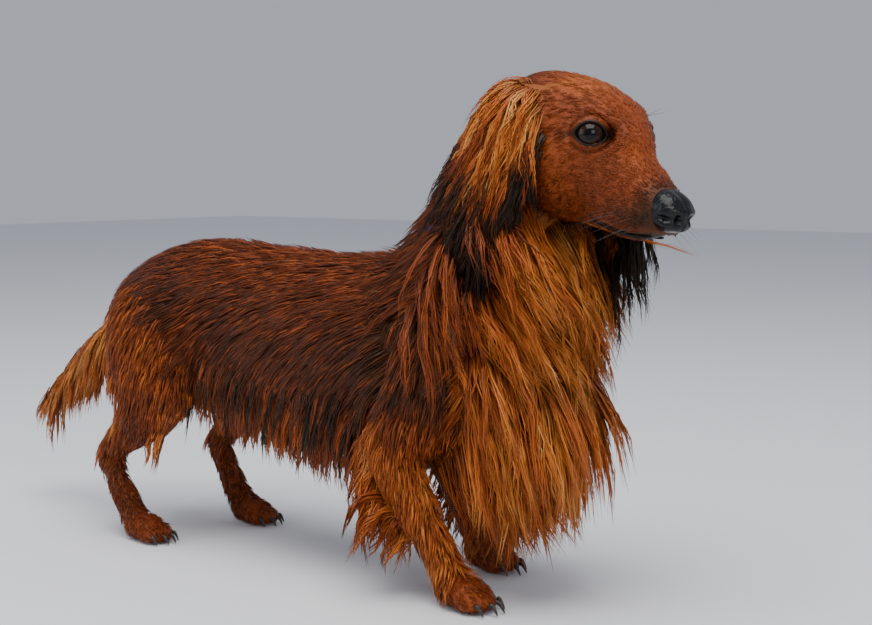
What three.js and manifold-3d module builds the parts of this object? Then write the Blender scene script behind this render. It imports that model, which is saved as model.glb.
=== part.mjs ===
// A long-haired dachshund, life size, on all four feet, with its head raised and turned to its right.
// Millimetres. +X runs forward along the trunk, +Y is the dog's left, +Z is up and z = 0 is the ground.
// Every part of the body is one closed solid. Long hair is built as flat, tapered locks fused to the part
// that they grow from.

import * as THREE from "three";
import { mergeVertices } from "three/addons/utils/BufferGeometryUtils.js";
import Module from "manifold-3d";

const wasm = await Module();
wasm.setup();

// Driving dimensions
const GAP = 0.3; // left between two parts that meet
const SPAN = 2000; // longer than the dog, for cutting planes
const SEED = 7;

// The trunk from buttocks to breastbone: how far along, the back line, the belly line, half the width
const TRUNK = [
  { x: -206, top: 184, bottom: 144, half: 25 },
  { x: -194, top: 204, bottom: 127, half: 41 },
  { x: -169, top: 228, bottom: 116, half: 54 },
  { x: -132, top: 246, bottom: 114, half: 60 },
  { x: -90, top: 254, bottom: 114, half: 61 },
  { x: -35, top: 250, bottom: 104, half: 64 },
  { x: 35, top: 247, bottom: 90, half: 67 },
  { x: 100, top: 247, bottom: 83, half: 67 },
  { x: 150, top: 242, bottom: 82, half: 65 },
  { x: 196, top: 224, bottom: 90, half: 58 },
  { x: 229, top: 199, bottom: 114, half: 41 },
];
// The neck from inside the chest to the skull: centre, half width, reach to the nape and to the throat
const NECK = [
  { at: [120, 0, 172], half: 54, nape: 58, throat: 66 },
  { at: [150, 0, 212], half: 52, nape: 55, throat: 67 },
  { at: [172, 3, 250], half: 48, nape: 48, throat: 61 },
  { at: [190, 7, 285], half: 44, nape: 43, throat: 52 },
  { at: [205, 10, 320], half: 40, nape: 36, throat: 40 },
];
const NECK_CUT = { at: [162, 0, 226], facing: [0.55, 0, 0.83] };
const COLLAR = { station: 0.5, width: 20, thickness: 3 };

// The head in its own frame: origin in the middle of the skull, +x to the nose, +z to the crown
const HEAD_AT = [248, -2, 322];
const HEAD_YAW = -18;
const HEAD_PITCH = 14;
const HEAD_ROLL = -3;
const SKULL_SQUARE = 2.2;
const SKULL = [
  { x: -68, top: 29, bottom: -12, half: 18 },
  { x: -56, top: 41, bottom: -30, half: 32 },
  { x: -38, top: 49, bottom: -41, half: 40 },
  { x: -16, top: 51.5, bottom: -47, half: 43 },
  { x: 8, top: 51, bottom: -49, half: 41 },
  { x: 28, top: 46.5, bottom: -48, half: 35.5 },
  { x: 43, top: 36, bottom: -47, half: 29.5 },
  { x: 57, top: 21, bottom: -45, half: 25 },
  { x: 72, top: 11.5, bottom: -44, half: 23 },
  { x: 87, top: 5, bottom: -41.5, half: 21.5 },
  { x: 100, top: 0.5, bottom: -36.5, half: 18.5 },
];
// Line of the mouth in the head's frame, from its corner to under the nose
const MOUTH = [
  [48, -34],
  [56, -36],
  [70, -37],
  [86, -36.5],
  [102, -32.5],
  [121, -28.5],
];
const MOUTH_GAP = 0.9;
const JAW_INSET = 1.6; // how far the upper lip overhangs the lower jaw
const JAW_BACK = [[38, -60], [44, -41]];
const LIP_RADIUS = 1.7;
const EYE = { at: [38.5, 21.2, 18], radius: 10.8, facing: [0.66, 0.73, 0.14] };
const LID = { thickness: 2.1, halfWidth: 9.6, halfHeight: 7.4, tilt: 8 };
const NOSE = [
  { x: 93, top: -2.5, bottom: -24, half: 11 },
  { x: 100, top: -2, bottom: -27, half: 14 },
  { x: 109, top: -5, bottom: -28.5, half: 13.4 },
  { x: 116, top: -10, bottom: -26, half: 9.5 },
];
const NOSTRIL = { at: [112, 7, -17], radius: 3.4, depth: 9 };
// The ear flap in the head's frame: centre, half its width, thickness out and in
const EAR = [
  { at: [-20, 36, 37], half: 19 },
  { at: [-21, 46, 22], half: 25 },
  { at: [-24, 52, -4], half: 32 },
  { at: [-26, 55, -34], half: 33 },
  { at: [-26, 55, -62], half: 24 },
  { at: [-24, 54, -78], half: 10 },
];
const EAR_THICKNESS = 4.6;
const EAR_CUP = 9; // how far its edges turn in towards the head

// How far each foot stands in front of the plain stance
const HIND_AHEAD = { right: 8, left: 34 };
const FORE_AHEAD = { right: 24, left: -22 };
const FORE_CUT = { height: 106, out: 46 };
const HIND_CUT = { height: 134, out: 40 };
const PAW_CUT = { fore: 31, hind: 27 };
const TOE = { radius: 8.2, spread: 8.6, claw: 8, clawRadius: 1.9 };

const LOCK_STEPS = 4;
const LOCK_SHAPE = [0, 1, 0.88, 0.52, 0];
const LOCK_SINK = 7;

const point = (p) => new THREE.Vector3(...p);
const mix = (a, b, t) => a + (b - a) * t;
const radians = THREE.MathUtils.degToRad;

// Random numbers from 0 to 1, the same each time
let drawn = SEED;
function random() {
  drawn = (drawn + 0x6d2b79f5) | 0;
  let t = Math.imul(drawn ^ (drawn >>> 15), 1 | drawn);
  t = (t + Math.imul(t ^ (t >>> 7), 61 | t)) ^ t;
  return ((t ^ (t >>> 14)) >>> 0) / 4294967296;
}
const vary = (share) => 1 + (random() - 0.5) * 2 * share;

// A mesh's geometry as a solid for joining and cutting
function solid(geometry) {
  const bare = geometry.clone();
  bare.deleteAttribute("uv");
  bare.deleteAttribute("normal");
  const merged = mergeVertices(bare, 1e-3);
  const corners = Array.from(merged.index.array);
  const triangles = [];
  for (let i = 0; i < corners.length; i += 3) {
    const [a, b, c] = corners.slice(i, i + 3);
    if (a !== b && b !== c && c !== a) triangles.push(a, b, c);
  }
  const build = (triVerts) =>
    new wasm.Manifold(
      new wasm.Mesh({
        numProp: 3,
        vertProperties: merged.attributes.position.array,
        triVerts: new Uint32Array(triVerts),
      }),
    );
  const made = build(triangles);
  return made.volume() > 0 ? made : build(triangles.reverse());
}

const join = (...solids) => wasm.Manifold.union(solids.flat());

// All that lies beyond a plane
function beyond(origin, facing, shift = 0) {
  const normal = point(facing).normalize();
  const geometry = new THREE.BoxGeometry(SPAN, SPAN, SPAN).translate(SPAN / 2 + shift, 0, 0);
  geometry.applyQuaternion(new THREE.Quaternion().setFromUnitVectors(point([1, 0, 0]), normal));
  return solid(geometry.translate(...origin));
}

// Keeps the largest closed surface of a solid
const largest = (body) => body.decompose().sort((a, b) => b.volume() - a.volume())[0];

// A form whose cross-sections follow a smooth path. Each station gives the section's centre,
// half its width, and its reach up and down from the centre.
class Form {
  constructor(stations, { across = [0, 1, 0], square = 2, sides = 8, rows = 1.5, cap = 0.45, shape } = {}) {
    this.path = new THREE.CatmullRomCurve3(stations.map((s) => point(s.at)));
    this.reach = new THREE.CatmullRomCurve3(stations.map((s) => point([s.half, s.up, s.down])));
    this.across = point(across);
    this.square = square;
    this.sides = sides;
    this.cap = cap;
    this.shape = shape;
    this.rowCount = Math.round(rows * (stations.length - 1));
  }

  // The surface at a share t of the path and an angle round it, 0 on its left and 90 degrees on top
  at(t, angle, { margin = 0, shrink = 1, push = 0 } = {}) {
    const along = this.path.getTangent(t);
    const side = this.across.clone().addScaledVector(along, -this.across.dot(along)).normalize();
    const up = along.clone().cross(side);
    const r = this.reach.getPoint(t);
    const flat = (value) => Math.sign(value) * Math.abs(value) ** (2 / this.square);
    const c = flat(Math.cos(angle)) * (r.x + margin) * shrink;
    const rise = Math.sin(angle) > 0 ? r.y : r.z;
    const s = flat(Math.sin(angle)) * (rise + margin) * shrink;
    const p = this.path.getPoint(t).addScaledVector(side, c).addScaledVector(up, s);
    p.addScaledVector(along, push);
    return this.shape ? this.shape(p, c / r.x, t) : p;
  }

  // The outward direction of the surface there
  outward(t, angle) {
    const step = 0.01;
    const alongSurface = this.at(Math.min(1, t + step), angle).sub(this.at(Math.max(0, t - step), angle));
    const roundSurface = this.at(t, angle + step).sub(this.at(t, angle - step));
    const out = roundSurface.cross(alongSurface).normalize();
    return out.dot(this.at(t, angle).sub(this.path.getPoint(t))) < 0 ? out.negate() : out;
  }

  solid(margin = 0) {
    const rounds = [0, 0.6];
    const capOf = (r) => this.cap * Math.min(r.x, r.y + r.z) + margin;
    const start = capOf(this.reach.getPoint(0));
    const end = capOf(this.reach.getPoint(1));
    const rows = [{ t: 0, shrink: 0, push: -start }];
    for (const k of [...rounds].reverse()) {
      rows.push({ t: 0, shrink: Math.sqrt(1 - k * k), push: -start * k });
    }
    for (let i = 1; i < this.rowCount; i++) rows.push({ t: i / this.rowCount, shrink: 1, push: 0 });
    for (const k of rounds) rows.push({ t: 1, shrink: Math.sqrt(1 - k * k), push: end * k });
    rows.push({ t: 1, shrink: 0, push: end });
    const geometry = new THREE.SphereGeometry(1, this.sides, rows.length - 1);
    const position = geometry.attributes.position;
    rows.forEach((row, j) => {
      for (let i = 0; i <= this.sides; i++) {
        const angle = ((i % this.sides) / this.sides) * 2 * Math.PI;
        const p = this.at(row.t, angle, { margin, ...row });
        position.setXYZ(j * (this.sides + 1) + i, p.x, p.y, p.z);
      }
    });
    return solid(geometry);
  }
}

// Head frame
const headTurn = new THREE.Quaternion().setFromEuler(
  new THREE.Euler(radians(HEAD_ROLL), radians(HEAD_PITCH), radians(HEAD_YAW), "ZYX"),
);
const headMatrix = new THREE.Matrix4().compose(point(HEAD_AT), headTurn, new THREE.Vector3(1, 1, 1));
const onHead = (p) => point(p).applyMatrix4(headMatrix);
const headDirection = (p) => point(p).applyQuaternion(headTurn);

// Forms of the flesh
const sectionOf = (s) => ({ half: s.half, up: (s.top - s.bottom) / 2, down: (s.top - s.bottom) / 2 });
const trunk = new Form(
  TRUNK.map((s) => ({ at: [s.x, 0, (s.top + s.bottom) / 2], ...sectionOf(s) })),
  { sides: 16, rows: 1, square: 2.2 },
);
const neck = new Form(
  NECK.map((s) => ({ at: s.at, half: s.half, up: s.nape, down: s.throat })),
  { sides: 14, rows: 1.5 },
);
const headForm = (table, options) =>
  new Form(
    table.map((s) => ({ at: onHead([s.x, 0, (s.top + s.bottom) / 2]).toArray(), ...sectionOf(s) })),
    { across: headDirection([0, 1, 0]).toArray(), ...options },
  );
const skull = headForm(SKULL, { sides: 20, rows: 1.3, square: SKULL_SQUARE });
const noseForm = headForm(NOSE, { sides: 10, rows: 1.4, square: 2.4, cap: 0.35 });

function limb(points, options = {}) {
  return new Form(points.map(([at, half, up, down]) => ({ at, half, up, down: down ?? up })), options);
}

function hindLeg(side, ahead) {
  const place = (x, y, z, share) => [x + ahead * share, side * y, z];
  return {
    thigh: limb([
      [place(-150, 32, 194, 0), 29, 46, 42],
      [place(-136, 42, 166, 0.1), 31, 52, 50],
      [place(-120, 51, 138, 0.3), 27, 44, 46],
      [place(-106, 55, 114, 0.4), 20, 26, 32],
    ]),
    shank: limb([
      [place(-106, 55, 128, 0.35), 19, 24, 28],
      [place(-134, 55, 106, 0.5), 18, 23, 25],
      [place(-166, 53, 84, 0.8), 14, 15, 17],
      [place(-188, 52, 68, 0.95), 11, 12, 12],
    ]),
    pastern: limb([
      [place(-189, 52, 70, 0.95), 11, 12, 12],
      [place(-176, 51, 44, 1), 11.5, 12, 12],
      [place(-158, 50, 18, 1), 13.5, 12, 13],
    ]),
    sole: limb(
      [
        [place(-160, 50, 12, 1), 13.5, 12, 14],
        [place(-140, 50, 12, 1), 16, 12, 14],
      ],
      { rows: 1 },
    ),
    toes: { at: place(-134, 50, 0, 1), size: 0.92 },
  };
}

function foreLeg(side, ahead) {
  const place = (x, y, z, share) => [x + ahead * share, side * y, z];
  return {
    arm: limb([
      [place(158, 40, 200, 0), 26, 36, 38],
      [place(166, 50, 165, 0), 28, 32, 36],
      [place(148, 56, 132, 0.1), 25, 28, 32],
      [place(130, 58, 106, 0.2), 19, 20, 24],
    ]),
    forearm: limb([
      [place(122, 59, 122, 0.2), 18, 20, 20],
      [place(132, 59, 96, 0.3), 18, 20, 20],
      [place(143, 55, 62, 0.6), 15, 15, 15],
      [place(151, 50, 36, 0.85), 14, 13, 13],
      [place(157, 48, 16, 0.95), 15, 13, 13],
    ]),
    sole: limb(
      [
        [place(156, 48, 13, 1), 15, 13, 14],
        [place(172, 48, 13, 1), 18, 13, 14],
      ],
      { rows: 1 },
    ),
    toes: { at: place(176, 48, 0, 1), size: 1 },
  };
}

const legs = {
  hindleg_right: hindLeg(-1, HIND_AHEAD.right),
  hindleg_left: hindLeg(1, HIND_AHEAD.left),
  foreleg_right: foreLeg(-1, FORE_AHEAD.right),
  foreleg_left: foreLeg(1, FORE_AHEAD.left),
};
const legForms = (leg) => Object.values(leg).filter((form) => form instanceof Form);

const tail = limb(
  [
    [[-180, 0, 192], 17, 17, 17],
    [[-216, 1, 173], 14, 14, 14],
    [[-254, 3, 150], 12, 12, 11],
    [[-292, 6, 125], 9.5, 10, 9],
    [[-324, 9, 103], 7, 7, 7],
    [[-344, 10, 86], 4, 4, 4],
  ],
  { sides: 10, rows: 1.4 },
);

// Four toes side by side, the middle pair in front, each with its claw
function toes({ at, size }) {
  const pieces = [];
  for (const place of [-1.5, -0.5, 0.5, 1.5]) {
    const r = TOE.radius * size;
    const ahead = Math.abs(place) < 1 ? 6 * size : 0;
    const toe = new THREE.SphereGeometry(r, 6, 4).rotateX(Math.PI / 2).scale(1.5, 0.5, 1.05);
    toe.translate(at[0] + ahead, at[1] + place * TOE.spread * size, r * 0.92);
    const claw = new THREE.ConeGeometry(TOE.clawRadius, TOE.claw, 4);
    claw.rotateZ(-Math.PI / 2 - 0.5);
    claw.translate(at[0] + ahead + r * 1.45 + 1.5, at[1] + place * TOE.spread * size, r * 0.72);
    pieces.push(solid(toe), solid(claw));
  }
  return pieces;
}

// Head details
const eyeTurn = (side) => point(EYE.facing.map((v, i) => (i === 1 ? v * side : v))).normalize();
const sideOf = (p, side) => [p[0], p[1] * side, p[2]];

function eyeball(side, margin = 0) {
  const geometry = new THREE.SphereGeometry(EYE.radius + margin, 10, 6);
  return solid(geometry.applyMatrix4(headMatrix.clone().multiply(eyeFrame(side))));
}

// The eye's own frame: +z looks out of the head and +y is up
function eyeFrame(side) {
  const out = eyeTurn(side);
  const across = point([0, 0, 1]).cross(out).normalize();
  across.applyAxisAngle(out, radians(-LID.tilt * side));
  const up = out.clone().cross(across);
  return new THREE.Matrix4().makeBasis(across, up, out).setPosition(...sideOf(EYE.at, side));
}

// A shell over the eyeball with an almond opening
function lids(side) {
  const place = headMatrix.clone().multiply(eyeFrame(side));
  const shell = new THREE.SphereGeometry(EYE.radius + LID.thickness, 10, 7).applyMatrix4(place);
  const w = LID.halfWidth;
  const h = LID.halfHeight;
  const almond = new THREE.Shape().moveTo(-w, 0);
  almond.bezierCurveTo(-w * 0.6, h * 1.25, w * 0.6, h * 1.25, w, 0);
  almond.bezierCurveTo(w * 0.6, -h * 1.1, -w * 0.6, -h * 1.1, -w, 0);
  const opening = new THREE.ExtrudeGeometry(almond, { depth: 40, bevelEnabled: false, curveSegments: 4 });
  return { shell: solid(shell), opening: solid(opening.applyMatrix4(place)) };
}

// What lies below the line of the mouth
function belowMouth(shift) {
  const shape = new THREE.Shape();
  shape.moveTo(...JAW_BACK[0]);
  shape.lineTo(...JAW_BACK[1]);
  MOUTH.forEach(([x, z]) => shape.lineTo(x, z + shift));
  shape.lineTo(160, MOUTH.at(-1)[1] + shift);
  shape.lineTo(160, JAW_BACK[0][1]);
  const geometry = new THREE.ExtrudeGeometry(shape, { depth: 120, bevelEnabled: false });
  return solid(geometry.translate(0, 0, -60).rotateX(Math.PI / 2).applyMatrix4(headMatrix));
}

// Half the skull's width at a place along it and a height
function skullHalf(x, z) {
  const next = Math.max(1, SKULL.findIndex((s) => s.x > x));
  const i = SKULL.at(-1).x <= x ? SKULL.length - 1 : next;
  const t = Math.min(1, (x - SKULL[i - 1].x) / (SKULL[i].x - SKULL[i - 1].x));
  const value = (key) => mix(SKULL[i - 1][key], SKULL[i][key], t);
  const middle = (value("top") + value("bottom")) / 2;
  const share = Math.min(1, Math.abs(z - middle) / ((value("top") - value("bottom")) / 2));
  return value("half") * (1 - share ** SKULL_SQUARE) ** (1 / SKULL_SQUARE);
}

// A rounded rim along one side of the lower lip
function lip(side) {
  const points = MOUTH.slice(0, 5).map(([x, z]) => {
    const y = skullHalf(x, z - 2) - JAW_INSET - 0.4;
    return [onHead([x, side * y, z - MOUTH_GAP - LIP_RADIUS]).toArray(), LIP_RADIUS, LIP_RADIUS];
  });
  return limb(points, { sides: 5, rows: 1, across: headDirection([0, 0, 1]).toArray() }).solid();
}

function nostril(side) {
  const { radius, depth } = NOSTRIL;
  const hole = new THREE.SphereGeometry(radius, 6, 4).scale(depth / radius, 1, 0.85);
  hole.rotateZ(side * 0.7).translate(...sideOf(NOSTRIL.at, side));
  const slit = new THREE.SphereGeometry(radius, 6, 4).scale(0.9, 1.6, 0.5);
  slit.rotateX(-side * 0.35).translate(NOSTRIL.at[0] - 2.5, side * (NOSTRIL.at[1] + 5), NOSTRIL.at[2] - 1);
  return [solid(hole.applyMatrix4(headMatrix)), solid(slit.applyMatrix4(headMatrix))];
}

function earForm(side) {
  const inward = headDirection([0, -side, 0]);
  const lean = side > 0 ? 0.24 : 0;
  return new Form(
    EAR.map((s) => ({
      at: onHead([s.at[0] + lean * (EAR[0].at[2] - s.at[2]), side * s.at[1], s.at[2]]).toArray(),
      half: s.half,
      up: EAR_THICKNESS / 2,
      down: EAR_THICKNESS / 2,
    })),
    {
      across: headDirection([-side, 0, 0]).toArray(),
      sides: 12,
      rows: 1.6,
      cap: 0.4,
      shape: (p, c) => p.addScaledVector(inward, EAR_CUP * c * c),
    },
  );
}
const ears = { ear_left: earForm(1), ear_right: earForm(-1) };

// One flat, tapered lock of hair. It leaves the skin along its lie, a little raised, and turns downwards.
function lock({ root, lie, outward, length, width, lift, droop }, margin = 0) {
  const geometry = new THREE.SphereGeometry(1, 4, LOCK_STEPS);
  const position = geometry.attributes.position;
  const down = point([0, 0, -1]);
  const step = (length + LOCK_SINK) / LOCK_STEPS;
  const along = lie.clone().addScaledVector(outward, -lie.dot(outward)).normalize();
  const p = root.clone().addScaledVector(outward, -LOCK_SINK * 0.7);
  p.addScaledVector(along, -LOCK_SINK * 0.4);
  const thickness = width * 0.26;
  for (let j = 0; j <= LOCK_STEPS; j++) {
    const t = j / LOCK_STEPS;
    const heading = along.clone().multiplyScalar(1 - droop * t).addScaledVector(down, droop * t);
    heading.addScaledVector(outward, lift * (1 - t) + (j === 0 ? 0.6 : 0)).normalize();
    const across = heading.clone().cross(outward).normalize();
    const face = across.clone().cross(heading);
    const pole = j === 0 || j === LOCK_STEPS;
    const half = pole ? 0 : (width / 2) * LOCK_SHAPE[j] + margin;
    const thick = pole ? 0 : (thickness / 2) * LOCK_SHAPE[j] + margin;
    const end = pole ? (j === 0 ? -margin : margin) : 0;
    for (let i = 0; i <= 4; i++) {
      const turn = (i % 4) * (Math.PI / 2);
      const q = p.clone().addScaledVector(across, Math.cos(turn) * half);
      q.addScaledVector(face, Math.sin(turn) * thick).addScaledVector(heading, end);
      position.setXYZ(j * 5 + i, q.x, q.y, q.z);
    }
    p.addScaledVector(heading, step);
  }
  return solid(geometry);
}

// A row of locks rooted on a form, from one place on it to another
function row(form, { from, to, count, length, width, lie, lift = 0.2, droop = 0.3, spread = 0.12 }) {
  const locks = [];
  for (let i = 0; i < count; i++) {
    const share = (i + 0.5 + (random() - 0.5) * 0.5) / count;
    const t = mix(from[0], to[0], share);
    const angle = radians(mix(from[1], to[1], share));
    const way = Array.isArray(lie[0]) ? lie[0].map((v, k) => mix(v, lie[1][k], share)) : lie;
    locks.push({
      root: form.at(t, angle),
      outward: form.outward(t, angle),
      lie: point(way).add(point([vary(1) - 1, vary(1) - 1, vary(1) - 1]).multiplyScalar(spread)),
      length: (Array.isArray(length) ? mix(length[0], length[1], share) : length) * vary(0.12),
      width: width * vary(0.12),
      lift: lift * vary(0.3),
      droop,
    });
  }
  return locks;
}
// The same row on the dog's right and left
const mirrored = (form, spec) => [
  ...row(form, spec),
  ...row(form, { ...spec, from: [spec.from[0], 180 - spec.from[1]], to: [spec.to[0], 180 - spec.to[1]] }),
];

// Rows of locks over each part. They overlap like roof tiles along the lie of the coat.
const hang = { lift: 0.3, droop: 0.9 };
const flat = { lift: 0.12, droop: 0.35 };
const full = { lift: 0.95, droop: 0.8 };
const coats = {
  torso: [
    // The fringe under the belly, and the long flank hair over its roots
    ...mirrored(trunk, {
      from: [0.28, 226], to: [0.7, 234], count: 11,
      length: 58, width: 27, lie: [-0.3, 0, -1], ...hang,
    }),
    ...mirrored(trunk, {
      from: [0.3, 203], to: [0.72, 206], count: 9,
      length: 70, width: 31, lie: [-0.4, 0, -1], ...flat,
    }),
    // The ruff of the chest, from between the forelegs up to the breastbone
    ...row(trunk, {
      from: [0.8, 222], to: [0.8, 318], count: 6,
      length: 50, width: 26, lie: [-0.2, 0, -1], ...hang,
    }),
    ...row(trunk, {
      from: [0.89, 200], to: [0.89, 340], count: 8,
      length: 70, width: 27, lie: [0.3, 0, -1], ...full,
    }),
    ...row(trunk, {
      from: [0.97, 172], to: [0.97, 368], count: 9,
      length: 82, width: 28, lie: [0.4, 0, -1], ...full,
    }),
  ],
  neck: [
    ...row(neck, {
      from: [0.36, 184], to: [0.36, 356], count: 7,
      length: 84, width: 31, lie: [0.4, 0, -1], ...full,
    }),
    ...row(neck, {
      from: [0.62, 184], to: [0.62, 356], count: 7,
      length: 72, width: 29, lie: [0.3, 0, -1], ...full,
    }),
    ...row(neck, {
      from: [0.86, 205], to: [0.86, 335], count: 6,
      length: 60, width: 24, lie: [0.3, 0, -1], ...full,
    }),
  ],
  tail: [
    ...row(tail, {
      from: [0.15, 125], to: [0.98, 115], count: 6,
      length: 54, width: 24, lie: [-0.3, -0.1, -1], ...hang,
    }),
    ...row(tail, {
      from: [0.2, 55], to: [1, 65], count: 6,
      length: 54, width: 24, lie: [-0.3, 0.1, -1], ...hang,
    }),
  ],
};
for (const [name, leg] of Object.entries(legs)) {
  const side = name.endsWith("left") ? 1 : -1;
  if (name.startsWith("fore")) {
    // Feathers from the elbow down the back of the forearm
    const spec = { width: 19, lie: [-1, side * 0.12, -0.6], lift: 0.3, droop: 0.45 };
    coats[name] = [
      ...row(leg.forearm, { from: [0, 245], to: [0.45, 262], count: 4, length: [66, 46], ...spec }),
      ...row(leg.forearm, { from: [0.02, 295], to: [0.4, 280], count: 3, length: [62, 48], ...spec }),
    ];
  } else {
    // Breeches behind the thigh and a small tuft on the hock
    const spec = { lie: [-0.4, side * 0.1, -1], lift: 0.35, droop: 0.8 };
    coats[name] = [
      ...row(leg.thigh, { from: [0.5, 262], to: [1, 272], count: 3, length: 46, width: 21, ...spec }),
      ...row(leg.shank, { from: [0.15, 250], to: [0.9, 262], count: 4, length: 36, width: 18, ...spec }),
      ...row(leg.pastern, { from: [0.1, 262], to: [0.1, 270], count: 1, length: 26, width: 12, ...spec }),
    ];
  }
}
for (const [name, ear] of Object.entries(ears)) {
  // The lie fans out from straight down at the front edge to well back behind
  const front = [0.05, 0, -1];
  const back = name.endsWith("left") ? [-0.7, 0, -0.8] : [-1.3, 0, -0.55];
  const fan = name.endsWith("left") ? [back, front] : [front, back];
  const lie = fan.map((v) => headDirection(v).toArray());
  const spec = { lie, width: 22, lift: 0.12, droop: 0.3, spread: 0.1 };
  coats[name] = [
    ...row(ear, { ...spec, from: [0.1, 35], to: [0.1, 145], count: 3, length: 50 }),
    ...row(ear, { ...spec, from: [0.3, 15], to: [0.3, 165], count: 5, length: 64 }),
    ...row(ear, { ...spec, from: [0.55, 12], to: [0.55, 168], count: 5, length: 66 }),
    ...row(ear, { ...spec, from: [0.82, 20], to: [0.82, 160], count: 6, length: 66, droop: 0.6 }),
  ];
}

// Flesh of each part, parted with thin cuts
const floor = beyond([0, 0, 0], [0, 0, -1]);
const half = GAP / 2;
const flesh = {};
const skullSolid = skull.solid();
const legSolids = (leg, margin) => legForms(leg).map((form) => form.solid(margin));
const allLegs = (margin) => Object.values(legs).map((leg) => join(legSolids(leg, margin)));
const body = join(trunk.solid(), neck.solid(), allLegs(0));
const clearOfHead = skull.solid(GAP);

const cellOf = (name) => {
  const side = name.endsWith("left") ? 1 : -1;
  const fore = name.startsWith("foreleg");
  const cut = fore ? FORE_CUT : HIND_CUT;
  const plane = [[0, side * cut.out, cut.height], [0, side * 0.7, -0.7]];
  const end = fore ? [[60, 0, 0], [1, 0, 0]] : [[-40, 0, 0], [-1, 0, 0]];
  return (shift) =>
    beyond(...plane, shift).intersect(beyond(...end, shift)).intersect(beyond([0, 0, 0], [0, side, 0]));
};

let torso = body.subtract(beyond(NECK_CUT.at, NECK_CUT.facing, -half));
for (const [name, leg] of Object.entries(legs)) {
  const cell = cellOf(name);
  torso = torso.subtract(cell(-half));
  const cut = [[0, 0, name.startsWith("foreleg") ? PAW_CUT.fore : PAW_CUT.hind], [0, 0, -1]];
  const own = join(legSolids(leg, 0), trunk.solid()).intersect(cell(half));
  flesh[name] = largest(own.subtract(beyond(...cut, -half)));
  const paw = join(largest(own.intersect(beyond(...cut, half))), toes(leg.toes));
  const gap = beyond(...cut, -half).subtract(beyond(...cut, half));
  flesh[name.replace("leg", "paw")] = paw.subtract(floor).subtract(gap);
}
flesh.torso = largest(torso);
// The neck, made larger by a margin, for as far along as the collar reaches
function collarBand(margin, reach) {
  const at = neck.path.getPoint(COLLAR.station).toArray();
  const facing = neck.path.getTangent(COLLAR.station).toArray();
  return neck.solid(margin).intersect(beyond(at, facing, -reach).subtract(beyond(at, facing, reach)));
}
const collarRing = collarBand(COLLAR.thickness + GAP, COLLAR.width / 2).subtract(neck.solid(GAP));
flesh.neck = largest(body.intersect(beyond(NECK_CUT.at, NECK_CUT.facing, half)).subtract(clearOfHead));
flesh.collar = largest(collarRing.subtract(clearOfHead).subtract(trunk.solid(GAP)));
flesh.tail = largest(tail.solid().subtract(trunk.solid(GAP)));

const noseSolid = noseForm.solid().subtract(join(...nostril(1), ...nostril(-1)));
const lidParts = [lids(1), lids(-1)];
flesh.head = largest(
  join(skullSolid, ...lidParts.map((l) => l.shell))
    .subtract(join(...lidParts.map((l) => l.opening)))
    .subtract(join(eyeball(1, GAP), eyeball(-1, GAP), noseForm.solid(GAP)))
    .subtract(belowMouth(0)),
);
const jawSolid = skull.solid(-JAW_INSET).intersect(belowMouth(-MOUTH_GAP));
flesh.jaw = largest(join(jawSolid, lip(1), lip(-1)).subtract(noseForm.solid(GAP)));
flesh.nose = noseSolid;
flesh.eye_left = eyeball(1);
flesh.eye_right = eyeball(-1);
const collarSpace = collarBand(COLLAR.thickness + 2 * GAP, COLLAR.width / 2 + GAP);
for (const [name, ear] of Object.entries(ears)) {
  flesh[name] = largest(ear.solid().subtract(join(clearOfHead, neck.solid(GAP), collarSpace)));
}

// Every lock is cut clear of the other parts' flesh, of the floor, and of the locks of the parts before it
const inLeg = ([name, leg]) =>
  join(legSolids(leg, GAP), trunk.solid(GAP), toes(leg.toes)).intersect(cellOf(name)(-half));
const legSpace = Object.fromEntries(Object.entries(legs).map((entry) => [entry[0], inLeg(entry)]));
const headSpace = join(clearOfHead, noseForm.solid(GAP), lip(1), lip(-1));
const trunkSpace = join(trunk.solid(GAP), allLegs(GAP));
const neckSpace = neck.solid(GAP);
const backOfCut = beyond(NECK_CUT.at, NECK_CUT.facing.map((v) => -v), -half);
const frontOfCut = beyond(NECK_CUT.at, NECK_CUT.facing, -half);
const legsAll = join(Object.values(legSpace));
const earSpace = join(Object.values(ears).map((ear) => ear.solid(GAP)));
const space = {
  ear_right: [headSpace, neckSpace, collarSpace, trunkSpace],
  ear_left: [headSpace, neckSpace, collarSpace, trunkSpace],
  tail: [trunkSpace, legsAll],
  neck: [headSpace, earSpace, collarSpace, join(trunkSpace, neckSpace, legsAll).intersect(backOfCut)],
  torso: [headSpace, earSpace, collarSpace, legsAll, join(neckSpace, trunkSpace).intersect(frontOfCut)],
};
for (const name of Object.keys(legs)) space[name] = [trunkSpace.subtract(cellOf(name)(half))];
const order = ["ear_right", "ear_left", "tail", ...Object.keys(legs), "neck", "torso"];
let taken = beyond([0, 0, 1], [0, 0, -1]);
for (const name of order) {
  const others = Object.keys(flesh).filter((other) => other !== name);
  const blocked = join(space[name], taken, others.map((other) => flesh[other]));
  const hair = join(coats[name].map((each) => lock(each))).subtract(blocked);
  flesh[name] = largest(join(flesh[name], hair));
  taken = join(taken, ...coats[name].map((each) => lock(each, GAP)));
}

function geometryOf(made) {
  const mesh = made.getMesh();
  const geometry = new THREE.BufferGeometry();
  geometry.setAttribute("position", new THREE.BufferAttribute(mesh.vertProperties, mesh.numProp));
  geometry.setIndex(new THREE.BufferAttribute(mesh.triVerts, 1));
  geometry.computeVertexNormals();
  return geometry;
}

const finish = (color, roughness) => new THREE.MeshStandardMaterial({ color, roughness });
const coat = finish(0x8a3a18, 0.7);
const finishes = {
  collar: finish(0x1d3a9a, 0.6),
  nose: finish(0x141417, 0.35),
  eye_left: finish(0x120a08, 0.08),
  eye_right: finish(0x120a08, 0.08),
};

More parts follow.
